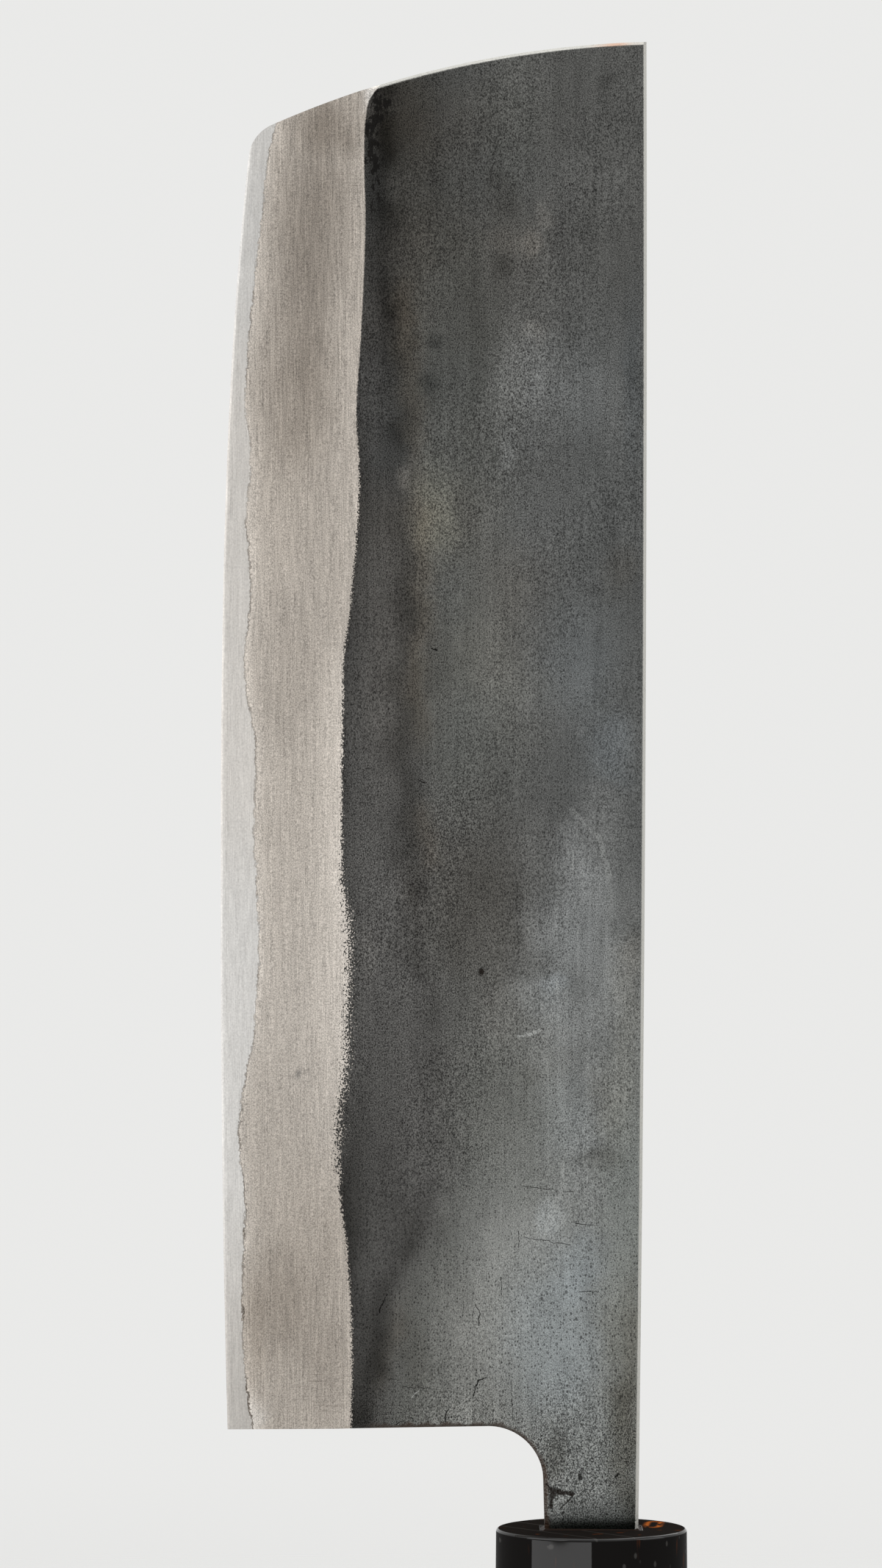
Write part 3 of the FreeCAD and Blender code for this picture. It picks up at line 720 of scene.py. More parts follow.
def stitch(grids):
    """Points and faces of one mesh from grids: joins points at one place, and drops cells without area."""
    points = np.concatenate([g.reshape(-1, 3) for g in grids])
    starts = np.cumsum([0] + [g.shape[0] * g.shape[1] for g in grids])
    cells = np.concatenate([quads(*g.shape[:2]) + s for g, s in zip(grids, starts)])
    joined = 0.0005 * MM
    keys = np.round(points / joined).astype(np.int64)
    _, first, number = np.unique(keys, axis=0, return_index=True, return_inverse=True)
    cells = number.reshape(-1)[cells]
    same = cells == np.roll(cells, -1, axis=1)
    folded = (cells[:, 0] == cells[:, 2]) | (cells[:, 1] == cells[:, 3])
    one_short = (same.sum(axis=1) == 1) & ~folded
    whole = cells[~same.any(axis=1) & ~folded]
    triangles = cells[one_short][~same[one_short]].reshape(-1, 3)
    return points[first], whole.tolist() + triangles.tolist()


def make_piece(name, grids, values=None):
    """A closed mesh object from grids of points, with attributes from values(x, z) of its points."""
    points, faces = stitch(grids)
    mesh = bpy.data.meshes.new(name)
    mesh.from_pydata(points.tolist(), [], faces)
    turned = bmesh.new()
    turned.from_mesh(mesh)
    bmesh.ops.recalc_face_normals(turned, faces=turned.faces)
    turned.to_mesh(mesh)
    turned.free()
    place = np.empty(3 * len(mesh.vertices))
    mesh.vertices.foreach_get("co", place)
    x, _, z = place.reshape(-1, 3).T
    for key, data in (values(x, z) if values else {}).items():
        if data.ndim == 1:
            mesh.attributes.new(key, "FLOAT", "POINT").data.foreach_set("value", data.astype(np.float32))
        else:
            full = np.concatenate([data, np.ones((len(data), 1))], axis=1).astype(np.float32)
            mesh.attributes.new(key, "FLOAT_COLOR", "POINT").data.foreach_set("color", full.ravel())
    mesh.shade_smooth()
    mesh.set_sharp_from_angle(angle=SHARP_ANGLE)
    piece = bpy.data.objects.new(name, mesh)
    bpy.context.scene.collection.objects.link(piece)
    return piece


def seat(piece, material, node):
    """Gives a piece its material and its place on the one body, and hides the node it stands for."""
    piece.data.materials.append(material)
    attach(piece, "root")
    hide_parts(node)


def forged_colours(blade, side, x, z):
    """Colours of the forge scale: a dark streak beside the shoulder, a paler lower part and soft patches,
    some of them painted highlights and painted shade.

    The streak is a bell curve across the blade, and the nose, the spine and the shoulder are shaded by their
    own curves.
    """
    streak_width, nose_width, shoulder_width = 1.8, 8.5, 1.3
    bloom_off, bloom_width, bloom_waves = 2.1, 1.4, (-0.3, 0.5)
    pale_rise, plain_warmth, plain_green = 41, 2.5, 0.4
    behind, before, beside = (0.5, 13), (-3, 2.5), (-1, 2)
    cool_side, calm_side = (-12, 0), (-10, 0)
    green_rise, green_behind, low_green, low_behind = 0.5, (-2, 4), 0.9, (0, 6)
    across, up = x / MM, (z - FACE_Z) / MM
    beyond = (x - blade.shoulder_x(side, z)) / MM
    rows = np.array(DARK_STREAK)
    streak_x, depth, drop = (wander(rows[:, [0, i]], up) for i in (1, 2, 3))
    off = across - streak_x + ripples("streak", x, z, side)
    low = along("low_flat", up)
    tone = along("scale_tone", up) + pale_rise * low * fade(off, *behind)
    tone -= depth * (1 + ripples("streak_depth", x, z, side)) * np.exp(-((off / streak_width) ** 2))
    tone -= drop * (1 - fade(off, *before))
    tone -= along("nose_shade", up) * np.exp(-((off / nose_width) ** 2)) * fade(off, *beside)
    tone -= along("shoulder_shade", up) * np.exp(-np.abs(beyond) / shoulder_width)
    # the patches add the scale's own uneven tone, painted highlights and painted shade
    tone += patches(FLAT_PATCHES_AND_PAINTED_LIGHT, x, z) + ripples("scale", x, z, side)
    bloom = np.exp(-(((off - bloom_off) / bloom_width) ** 2))
    bloom *= fade(ripples("bloom", x, z, side), *bloom_waves)
    warmth = plain_warmth + along("brown_bloom", up) * bloom
    warmth -= along("spine_coolness", up) * fade(across, *cool_side)
    warmth += along("warm_waves", up) * ripples("warmth", x, z, side) * (1 - fade(across, *calm_side))
    # the patches' warmth, cooler at the painted highlights
    warmth += patches(FLAT_PATCHES_AND_PAINTED_LIGHT, x, z, 5)
    green = plain_green + green_rise * fade(off, *green_behind) + low_green * low * fade(off, *low_behind)
    return display_colour(tone, warmth, green + patches(OLIVE, x, z))


def ground_colours(blade, side, x, z):
    """Colours of the ground bevel: paler along the weld line and at mid length, with a painted highlight
    along the shoulder and soft patches, some of them painted highlight and painted shade.
    """
    highlight_reach = 4
    shoulder_highlight_rise, shoulder_reach, weld_rise, weld_reach = 15, 1.6, 36, 1.1
    up = (z - FACE_Z) / MM
    to_shoulder = np.abs(blade.shoulder_x(side, z) - x) / MM
    from_weld = np.abs(x - blade.weld_x(side, z)) / MM
    # painted highlight along the shoulder: a wide band at mid length and a narrow one all along
    tone = along("bevel_tone", up) + along("shoulder_highlight", up) * np.exp(-to_shoulder / highlight_reach)
    tone += shoulder_highlight_rise * np.exp(-to_shoulder / shoulder_reach)
    tone += weld_rise * np.exp(-from_weld / weld_reach)
    # the patches add the bevel's own uneven tone, a painted highlight and painted shade
    tone += patches(BEVEL_PATCHES_AND_PAINTED_LIGHT, x, z) + ripples("bevel", x, z, side)
    return display_colour(tone, BEVEL_WARMTH + patches(BEVEL_PATCHES_AND_PAINTED_LIGHT, x, z, 5), STEEL_GREEN)


def edge_colours(z):
    """Colours of the bare core steel: paler at mid length than at the nose and the heel."""
    up = (z - FACE_Z) / MM
    return display_colour(along("edge_tone", up), along("edge_warmth", up), STEEL_GREEN)


def cladding_values(blade, side):
    """What the cladding's finish reads at each point: millimetres from its lines, strengths and colours."""
    plain_pits, high_pits, fewer_pits = 0.55, 0.2, 0.65
    streak_side, spine_side = (-16, -8), (-8, 2)

    def values(x, z):
        across, up = x / MM, (z - FACE_Z) / MM
        found = {key: along(key, up) for key in ("dither", "grains", "pit_depth", "brush", "weld_depth")}
        found["grains"] += along("streak_grains", up) * (1 - fade(across, *streak_side))
        change = high_pits - fewer_pits * fade(across, *spine_side)
        found["pits"] = plain_pits + along("high_flat", up) * change + patches(PITTED, x, z)
        for key, rows in PATCHED.items():
            found[key] = patches(rows, x, z)
        return found | {
            "shoulder": np.clip((x - blade.shoulder_x(side, z)) / MM, -20, 40),
            "weld": np.clip((x - blade.weld_x(side, z)) / MM, -5, 40),
            "rim": np.clip(blade.rim_distance(x, z) / MM, -1, 4),
            "choil": np.clip(blade.low_distance(x, z) / MM, -1, 6),
            "forged": forged_colours(blade, side, x, z),
            "ground": ground_colours(blade, side, x, z),
            "bare": edge_colours(z),
        }

    return values


def layer_grids(blade, side, columns, neck_start, mouth_depth):
    """The X and Z grids of a layer: the blade above the neck, and the neck with the tang."""
    x, z = blade_grid(blade, side, columns)
    return (x, z), neck_grid(blade, mouth_depth, x[0, neck_start:])


def border_walls(front, back, neck_start):
    """Strips that close two facing layers round the nose, spine, edge side, heel, neck and tang."""
    body_borders = (np.s_[-1], np.s_[:, -1], np.s_[:, 0], np.s_[0, :neck_start + 1])
    neck_borders = (np.s_[:, 0], np.s_[:, -1], np.s_[0])
    return [
        np.stack([near[border], far[border]])
        for near, far, borders in zip(front, back, (body_borders, neck_borders))
        for border in borders
    ]


def build_cladding(blade, side, name, mouth_depth):
    """One iron layer: an outer skin over blade, neck and tang, the weld face behind it and walls between."""
    bevel_steps, flat_steps, fillet_steps, neck_steps = 36, 40, 22, 28
    columns = np.concatenate([
        stretch(WELD, SHOULDER, even(bevel_steps)),
        stretch(SHOULDER, METRE * blade.fillet_start[0], even(flat_steps)),
        back_columns(blade, fillet_steps, neck_steps),
    ])
    neck_start = bevel_steps + flat_steps + fillet_steps
    skin, weld_face = [], []
    for x, z in layer_grids(blade, side, columns, neck_start, mouth_depth):
        core = blade.core_half(side, z)
        half = np.maximum(blade.skin_half(side, x, z), core)
        skin.append(points_of(x, side * half, z))
        weld_face.append(points_of(x, side * core, z))
    grids = skin + weld_face + border_walls(skin, weld_face, neck_start)
    return make_piece(name, grids, cladding_values(blade, side))


def build_core(blade, mouth_depth):
    """The hard steel layer: the bare strip up to the weld lines, and the faces under the iron behind them."""
    strip_steps, hidden_steps, fillet_steps, neck_steps = 18, 8, 14, 6
    crowding = 1.6
    columns = np.concatenate([
        stretch(EDGE, WELD, even(strip_steps) ** crowding),
        stretch(WELD, METRE * blade.fillet_start[0], even(hidden_steps)),
        back_columns(blade, fillet_steps, neck_steps),
    ])
    neck_start = strip_steps + hidden_steps + fillet_steps
    faces = {}
    for side in (LEFT, RIGHT):
        grids = layer_grids(blade, side, columns, neck_start, mouth_depth)
        faces[side] = [points_of(x, side * blade.strip_half(side, x, z), z) for x, z in grids]
    grids = faces[LEFT] + faces[RIGHT] + border_walls(faces[LEFT], faces[RIGHT], neck_start)

    def values(x, z):
        return {
            "edge": np.clip((x - blade.edge_x(blade.place_at(z))) / MM, -1, 20),
            "bare": edge_colours(z),
        }

    return make_piece("core_steel_layer", grids, values)


class Handle:
    """Ovals, slot and socket of the handle as rings of points, all with the same turns."""

    def __init__(self, shape):
        self.shape = shape
        self.slot_x = (SEAL_LOW[0] + SEAL_HIGH[0]) / 2
        self.slot_half = np.array([SEAL_HIGH[0] - SEAL_LOW[0], SEAL_HIGH[1] - SEAL_LOW[1]]) / 2
        self.socket = DOWEL_RADIUS + shape.glue_gap
        corner = math.atan2(self.slot_half[1], self.slot_half[0])
        stops = [-corner, corner, math.pi - corner, math.pi + corner, 2 * math.pi - corner]
        end_steps, side_steps = 24, 40
        self.turns = np.concatenate([
            np.linspace(a, b, steps, endpoint=False)
            for a, b, steps in zip(stops, stops[1:], (end_steps, side_steps) * 2)
        ] + [[stops[-1]]])

    def oval(self, z, inset=0.0, lift=0.0):
        """The handle's ellipse at a height, which tapers evenly from butt to face, drawn in by an inset."""
        shape = self.shape
        taper = z / FACE_Z
        high = (shape.butt_height + (shape.face_height - shape.butt_height) * taper) / 2 - inset
        wide = (shape.butt_width + (shape.face_width - shape.butt_width) * taper) / 2 - inset
        return points_of(high * np.cos(self.turns), wide * np.sin(self.turns), z + lift)

    def circle(self, radius, z):
        return points_of(radius * np.cos(self.turns), radius * np.sin(self.turns), z)

    def slot(self, grow, z):
        """The slot's rectangle, grown on all sides: the ray at each turn cut off at the nearer side."""
        cos, sin = np.cos(self.turns), np.sin(self.turns)
        with np.errstate(divide="ignore"):
            ray = np.minimum(self.slot_half[0] / np.abs(cos), self.slot_half[1] / np.abs(sin))
        scale = 1 + grow / self.slot_half
        return points_of(self.slot_x + ray * cos * scale[0], ray * sin * scale[1], z)

    def neck(self, grow, half, low_x, high_x, z):
        """The neck's rectangle, grown on all sides, with the slot's turns."""
        flat = self.slot(0.0, z)
        tall = (high_x - low_x) / 2 + grow
        x = (low_x + high_x) / 2 + (flat[:, 0] - self.slot_x) / self.slot_half[0] * tall
        return points_of(x, flat[:, 1] / self.slot_half[1] * (half + grow), z)

    def rounded_rim(self, z, radius, direction, steps=8):
        """Rings round a rim: inset radius * (1 - cos a), height radius * sin a, for a up to a right angle."""
        angles = np.linspace(0, math.pi / 2, steps)
        base = z - direction * radius
        return [
            self.oval(base, radius * (1 - math.cos(a)), direction * radius * math.sin(a)) for a in angles
        ]

    def between(self, start, end, steps):
        """Rings blended evenly from one ring to another, without the last."""
        return [start + (end - start) * t for t in even(steps)]


def build_ferrule(handle):
    """The horn ferrule: one closed sheet up its side, over the face, down the slot and the socket."""
    side_rings, face_rings, lip_rings, slot_rings = 40, 14, 6, 8
    floor_rings, socket_rings, foot_rings = 3, 10, 4
    shape = handle.shape
    groove, lip = shape.joint_groove, shape.lip_rounding
    wall_z, seam = FACE_Z - shape.mouth_depth, 0.04 * MM
    foot = handle.oval(JOINT_Z, groove)
    rim = handle.rounded_rim(FACE_Z, shape.face_rounding, 1)
    lip_turns = np.linspace(0, math.pi / 2, lip_rings)
    lips = [handle.slot(lip * (1 - math.sin(a)), FACE_Z - lip * (1 - math.cos(a))) for a in lip_turns]
    wall_top = handle.oval(FACE_Z - shape.face_rounding - seam)
    slot_low = handle.slot(0.0, wall_z)
    socket_high, socket_low = (handle.circle(handle.socket, z) for z in (wall_z, JOINT_Z))
    rings = [foot] + handle.between(handle.oval(JOINT_Z + groove), wall_top, side_rings) + [wall_top] + rim
    rings += handle.between(rim[-1], lips[0], face_rings)[1:] + lips
    rings += handle.between(lips[-1], slot_low, slot_rings)[1:]
    rings += handle.between(slot_low, socket_high, floor_rings)
    rings += handle.between(socket_high, socket_low, socket_rings)
    rings += handle.between(socket_low, foot, foot_rings) + [foot]
    return make_piece("polished_ferrule", [np.stack(rings)])


def build_grip(handle):
    """The wooden grip: one closed sheet from the butt's middle, up its side and down the socket."""
    butt_rings, rim_rings, side_rings = 10, 12, 60
    end_rings, socket_rings, floor_rings = 5, 16, 4
    shape = handle.shape
    groove = shape.joint_groove
    floor_z = DOWEL_END_Z - shape.glue_gap
    butt = handle.rounded_rim(0.0, shape.butt_rounding, -1, rim_rings)[::-1]
    top, shoulder = handle.oval(JOINT_Z - groove), handle.oval(JOINT_Z, groove)
    socket_high, socket_low = (handle.circle(handle.socket, z) for z in (JOINT_Z, floor_z))
    middle = handle.circle(0.0, floor_z)
    rings = handle.between(handle.circle(0.0, 0.0), butt[0], butt_rings) + butt[:-1]
    rings += handle.between(butt[-1], top, side_rings) + [top]
    rings += handle.between(shoulder, socket_high, end_rings)
    rings += handle.between(socket_high, socket_low, socket_rings)
    rings += handle.between(socket_low, middle, floor_rings) + [middle]
    return make_piece("wooden_grip", [np.stack(rings)])


def build_seal(handle, blade):
    """The resin seal: fills the slot round the neck and creeps up the steel in a small hollow curve."""
    wall_rings, creep_rings = 3, 8
    shape = handle.shape
    half = blade.flat_half(0.0, FACE_Z)
    sunk = 0.06 * MM
    sides = (-sunk, half, blade.neck_bottom_x, blade.neck_top_x)
    outer_low, outer_high = handle.slot(0.0, SEAL_LOW[2]), handle.slot(0.0, FACE_Z - shape.lip_rounding)
    inner_low, inner_high = handle.neck(*sides, SEAL_LOW[2]), handle.neck(*sides, FACE_Z)
    creep = [
        outer_high + (inner_high - outer_high) * t + np.array([0, 0, shape.meniscus * t ** 3])
        for t in np.linspace(0, 1, creep_rings)
    ]
    wall = handle.between(outer_low, outer_high, wall_rings)
    return make_piece("resin_seal", [np.stack(wall + creep + [inner_low, outer_low])])


class Nodes:
    """Adds nodes to one tree and joins them; a value is a number, a colour or another node's output."""

    def __init__(self, tree):
        self.tree = tree

    def add(self, kind, **settings):
        node = self.tree.nodes.new(kind)
        for key, value in settings.items():
            setattr(node, key, value)
        return node

    def feed(self, socket, value):
        if isinstance(value, bpy.types.NodeSocket):
            self.tree.links.new(value, socket)
        elif socket.type == "RGBA":
            socket.default_value = (*value, 1.0)
        else:
            socket.default_value = value

    def joined(self, node, values, output=0):
        for socket, value in zip(node.inputs, values):
            self.feed(socket, value)
        return node.outputs[output]

    def maths(self, operation, *values):
        return self.joined(self.add("ShaderNodeMath", operation=operation), values)

    def times(self, product, *values):
        """The product of all the values."""
        for value in values:
            product = self.maths("MULTIPLY", product, value)
        return product

    def vector(self, operation, *values):
        return self.joined(self.add("ShaderNodeVectorMath", operation=operation), values)

    def scaled(self, tint, factor):
        """A colour times a number."""
        node = self.add("ShaderNodeVectorMath", operation="SCALE")
        self.feed(node.inputs[0], tint)
        self.feed(node.inputs["Scale"], factor)
        return node.outputs[0]

    def span(self, value, low, high, start=0.0, end=1.0):
        """Smoothstep of a value between low and high, from start to end."""
        node = self.add("ShaderNodeMapRange", interpolation_type="SMOOTHSTEP")
        return self.joined(node, (value, low, high, start, end))

    def mix(self, factor, first, second):
        node = self.add("ShaderNodeMix", data_type="RGBA")
        for index, value in ((0, factor), (6, first), (7, second)):
            self.feed(node.inputs[index], value)
        return node.outputs[2]

    def weighted(self, base, *terms):
        """base + the sum of weight * (value - 0.5) over (value, weight) terms."""
        total = base
        for value, weight in terms:
            total = self.maths("ADD", total, self.times(self.maths("SUBTRACT", value, 0.5), weight))
        return total

    def noise(self, place, cell, detail=2.0, output="Fac"):
        """Noise from 0 to 1 whose cells have this size along X, Y and Z."""
        node = self.add("ShaderNodeTexNoise")
        self.feed(node.inputs["Vector"], self.vector("DIVIDE", place, cell))
        node.inputs["Scale"].default_value = 1.0
        node.inputs["Detail"].default_value = detail
        return node.outputs[output]

    def value(self, name):
        return self.add("ShaderNodeAttribute", attribute_name=name).outputs["Fac"]

    def tint(self, name):
        return self.add("ShaderNodeAttribute", attribute_name=name).outputs["Color"]

    def place(self):
        """Object coordinates in millimetres."""
        return self.scaled(self.add("ShaderNodeTexCoord").outputs["Object"], 1 / MM)

    def parts(self, place):
        """X, Y and Z of a place."""
        node = self.add("ShaderNodeSeparateXYZ")
        self.feed(node.inputs[0], place)
        return node.outputs[:3]

    def slanted(self, place):
        """The same with Y added to X, so that a pattern across the flats also crosses the walls."""
        x, y, z = self.parts(place)
        return self.joined(self.add("ShaderNodeCombineXYZ"), (self.maths("ADD", x, y), y, z))

    def group(self, tree, **values):
        node = self.add("ShaderNodeGroup", node_tree=tree)
        for name, value in values.items():
            self.feed(node.inputs[name.capitalize()], value)
        return node.outputs[0]


def new_group(name, inputs, output):
    """A shader node group with (name, kind) inputs and one output, as (nodes, inputs, output socket)."""
    tree = bpy.data.node_groups.new(name, "ShaderNodeTree")
    for label, kind in inputs:
        tree.interface.new_socket(label, in_out="INPUT", socket_type="NodeSocket" + kind)
    tree.interface.new_socket(output, in_out="OUTPUT", socket_type="NodeSocketFloat")
    nodes = Nodes(tree)
    return nodes, nodes.add("NodeGroupInput").outputs, nodes.add("NodeGroupOutput").inputs[0]


def brushed_group():
    """Long fine lines along Z: noise with narrow, tall cells, and a coarser set of lines over it."""
    nodes, given, result = new_group("Brushed lines", [("Place", "Vector"), ("Cell", "Vector")], "Lines")
    coarser = (5.0, 5.0, 1.6)
    fine = nodes.noise(given["Place"], given["Cell"], 3.0)
    wide = nodes.noise(given["Place"], nodes.vector("MULTIPLY", given["Cell"], coarser), 1.0)
    nodes.feed(result, nodes.maths("ADD", nodes.times(fine, 0.75), nodes.times(wide, 0.25)))
    return nodes.tree


def pits_group():
    """Round pits in a plane: a share of a Voronoi pattern's cells hold a dot, of a random radius."""
    inputs = [("Place", "Vector"), ("Size", "Float"), ("Amount", "Float")]
    nodes, given, result = new_group("Pits", inputs, "Pits")
    x, _, z = nodes.parts(given["Place"])
    flat = nodes.joined(nodes.add("ShaderNodeCombineXYZ"), (x, nodes.times(z, 0.75), 0.0))
    cells = nodes.add("ShaderNodeTexVoronoi", voronoi_dimensions="2D")
    nodes.feed(cells.inputs["Vector"], nodes.scaled(flat, nodes.maths("DIVIDE", 1.0, given["Size"])))
    cells.inputs["Scale"].default_value = 1.0
    chance = nodes.add("ShaderNodeSeparateColor")
    nodes.feed(chance.inputs[0], cells.outputs["Color"])
    least = nodes.maths("SUBTRACT", 1.0, given["Amount"])
    held = nodes.span(chance.outputs[0], least, nodes.maths("ADD", least, 0.08))
    radius = nodes.maths("ADD", 0.16, nodes.times(chance.outputs[1], 0.24))
    spot = nodes.span(cells.outputs["Distance"], nodes.times(radius, 0.45), radius, 1.0, 0.0)
    nodes.feed(result, nodes.times(spot, held))
    return nodes.tree


def mark_group():
    """A mark along the segment from start to end: 1 close to it, fading to 0 at a width from it."""
    inputs = [("Place", "Vector"), ("Start", "Vector"), ("End", "Vector"), ("Width", "Float")]
    nodes, given, result = new_group("Mark", inputs, "Mark")
    along = nodes.vector("SUBTRACT", given["End"], given["Start"])
    away = nodes.vector("SUBTRACT", given["Place"], given["Start"])

    def dot(first, second):
        node = nodes.add("ShaderNodeVectorMath", operation="DOT_PRODUCT")
        return nodes.joined(node, (first, second), "Value")

    part = nodes.maths("DIVIDE", dot(away, along), dot(along, along))
    held = nodes.maths("MINIMUM", nodes.maths("MAXIMUM", part, 0.0), 1.0)
    off = nodes.vector("SUBTRACT", away, nodes.scaled(along, held))
    distance = nodes.maths("SQRT", dot(off, off))
    nodes.feed(result, nodes.span(distance, nodes.times(given["Width"], 0.35), given["Width"], 1.0, 0.0))
    return nodes.tree


def grain_group():
    """Wood grain along Z: rings about an axis far to one side, warped by noise, with fine pores over them."""
    inputs = [("Place", "Vector"), ("Ring", "Float")]
    nodes, given, result = new_group("Wood grain", inputs, "Grain")
    warp = nodes.noise(given["Place"], WOOD_WARP)
    x, y, _ = nodes.parts(given["Place"])
    bowed = nodes.maths("ADD", nodes.maths("ADD", x, nodes.times(y, 0.45)), nodes.times(warp, 7.0))
    rings = nodes.maths("FRACT", nodes.maths("DIVIDE", bowed, given["Ring"]))
    late = nodes.times(nodes.span(rings, 0.25, 0.92), nodes.span(rings, 0.93, 1.0, 1.0, 0.0))
    pores = nodes.span(nodes.noise(given["Place"], WOOD_PORES), 0.42, 0.72)
    nodes.feed(result, nodes.maths("ADD", nodes.times(late, 0.6), nodes.times(pores, 0.4)))
    return nodes.tree


def effect(name, build):
    """A node group by name, built at its first use."""
    return bpy.data.node_groups.get(name) or build()


def brushed(nodes, place, cell):
    return nodes.group(effect("Brushed lines", brushed_group), place=place, cell=cell)


def pitted(nodes, place, cell, amount):
    return nodes.group(effect("Pits", pits_group), place=place, size=cell, amount=amount)


def marked(nodes, place, start, end, width):
    return nodes.group(effect("Mark", mark_group), place=place, start=start, end=end, width=width)


def new_material(name, metallic, **constants):
    """A material with its nodes, its Principled shader and the shader's plain values."""
    material = bpy.data.materials.new(name)
    material.use_nodes = True
    shader = material.node_tree.nodes["Principled BSDF"]
    shader.inputs["Metallic"].default_value = metallic
    for key, value in constants.items():
        shader.inputs[key.replace("_", " ")].default_value = value
    return material, Nodes(material.node_tree), shader


def bumped(nodes, shader, height, distance):
    """Feeds a height of 0 to about 1 to the shader's normal as a bump of this depth."""
    bump = nodes.add("ShaderNodeBump")
    bump.inputs["Strength"].default_value = 1.0
    bump.inputs["Distance"].default_value = distance
    nodes.feed(bump.inputs["Height"], height)
    nodes.feed(shader.inputs["Normal"], bump.outputs["Normal"])


def forged_scale(nodes, place, grain, mottle, pit_colour):
    """Colour of the scale, grained, streaked, pitted and blotted, and a mask of its pits."""
    streaks, soft = brushed(nodes, place, SCALE_STREAKS), nodes.noise(place, SOFT_CLOUD)
    scale = nodes.weighted(
        1.06, (grain, nodes.value("grains")), (soft, 0.3), (mottle, 0.4), (streaks, 0.6),
    )
    forged = nodes.scaled(nodes.tint("forged"), nodes.maths("MAXIMUM", scale, 0.25))
    amount = nodes.weighted(nodes.value("pits"), (nodes.noise(place, PIT_CLUSTERS), 0.8))
    fine = nodes.times(pitted(nodes, place, FINE_PITS, amount), 0.6)
    pits = nodes.maths("MAXIMUM", pitted(nodes, place, PITS, amount), fine)
    pits = nodes.maths("MAXIMUM", pits, pitted(nodes, place, COARSE_PITS, nodes.value("coarse")))
    forged = nodes.mix(nodes.times(pits, nodes.value("pit_depth")), forged, pit_colour)
    blots = nodes.value("blots")
    ragged = nodes.weighted(blots, (nodes.noise(place, BLOT_BORDER, 5.0), 2.2))
    blot = nodes.times(nodes.span(ragged, 0.42, 0.56), nodes.span(blots, 0.05, 0.20, 0.0, 0.85))
    return nodes.mix(blot, forged, pit_colour), pits


def ground_bevel(nodes, place, lines, grain, mottle, rubbed_colour):
    """Colour of the bevel, with brushed lines, grain and places rubbed across them."""
    long_lines = brushed(nodes, place, LONG_LINES)
    worked = nodes.weighted(
        1.0, (lines, nodes.value("brush")), (long_lines, 0.25), (grain, 1.7), (mottle, 0.04),
    )
    rubbed = nodes.span(nodes.noise(place, CROSS_LINES), 0.55, 0.68)
    strength = nodes.times(rubbed, nodes.value("cross"), 0.45)
    return nodes.mix(strength, nodes.scaled(nodes.tint("ground"), worked), rubbed_colour)


def weld_line(nodes, place, surface, lines, grain, mottle, line_colour):
    """Adds bare steel on the edge's side of the weld, and the dark, jagged line between the layers."""
    jagged, wide = nodes.noise(place, WELD_JAGS), nodes.noise(place, WELD_DRIFT, 4.0)
    drift = nodes.weighted(nodes.value("weld"), (wide, 0.9), (jagged, 0.65))
    worked = nodes.weighted(1.0, (lines, 0.5), (grain, 0.4))
    bare = nodes.span(drift, 0.16, 0.24, 1.0, 0.0)
    surface = nodes.mix(bare, surface, nodes.scaled(nodes.tint("bare"), worked))
    off = nodes.maths("ABSOLUTE", nodes.maths("SUBTRACT", drift, 0.20))
    line = nodes.span(off, 0.05, 0.16, 1.0, 0.0)
    line = nodes.times(line, nodes.span(mottle, 0.35, 0.65, 0.6, 1.2), nodes.value("weld_depth"))
    return nodes.mix(line, surface, line_colour)


def worn_corners(nodes, surface, shoulder, grain, mottle, finish):
    """Adds worn iron and copper on the eased corners, and a brown bloom along the heel and the neck."""
    choil = nodes.value("choil")
    fray = nodes.weighted(nodes.value("rim"), (grain, 0.25))
    corner = nodes.times(
        nodes.span(fray, 0.30, 0.46, 0.9, 0.0), nodes.span(shoulder, -0.6, 0.2),
        nodes.span(choil, 0.35, 0.80),
    )
    worn = nodes.mix(nodes.value("copper"), tuple(finish.worn_corner), tuple(finish.copper))
    surface = nodes.mix(corner, surface, worn)
    bloom = nodes.span(nodes.weighted(choil, (mottle, 1.2)), 0.1, 0.7, 0.75, 0.0)
    bloom = nodes.times(bloom, nodes.span(shoulder, 0.0, 6.0))
    return nodes.mix(bloom, surface, tuple(finish.patina))


def scored(nodes, place, surface, grain, marks, scratches_and_highlights, finish):
    """Adds dark marks, and pale scratches and painted highlight streaks, along bent segments, and returns a
    mask of the marks too.
    """
    bend = nodes.vector("SUBTRACT", nodes.noise(place, MARK_BENDS, output="Color"), (0.5, 0.5, 0.5))
    bent = nodes.vector("ADD", nodes.place(), nodes.scaled(bend, 0.5))
    on_plane = nodes.vector("MULTIPLY", bent, (1.0, 0.0, 1.0))

    def segment(start, end, width):
        ends = [(x, 0.0, FACE_Z / MM + up) for x, up in (start, end)]
        return marked(nodes, on_plane, *ends, width)

    dark, brown = 0.0, 0.0
    for start, end, width, share_brown in marks:
        mark = segment(start, end, width)
        dark = nodes.maths("MAXIMUM", dark, mark)
        brown = nodes.maths("MAXIMUM", brown, nodes.times(mark, share_brown))
    mark_colour = nodes.scaled(nodes.mix(brown, tuple(finish.pit), tuple(finish.patina)), 0.4)
    surface = nodes.mix(nodes.times(dark, 0.9), surface, mark_colour)
    broken = nodes.span(grain, 0.34, 0.56, 0.25, 1.0)
    # pale scratches and painted highlight streaks
    for start, end, width, strength in scratches_and_highlights:
        scratch_and_highlight = nodes.times(segment(start, end, width), broken, strength)
        surface = nodes.mix(scratch_and_highlight, surface, tuple(finish.scratch_and_highlight))
    return surface, dark


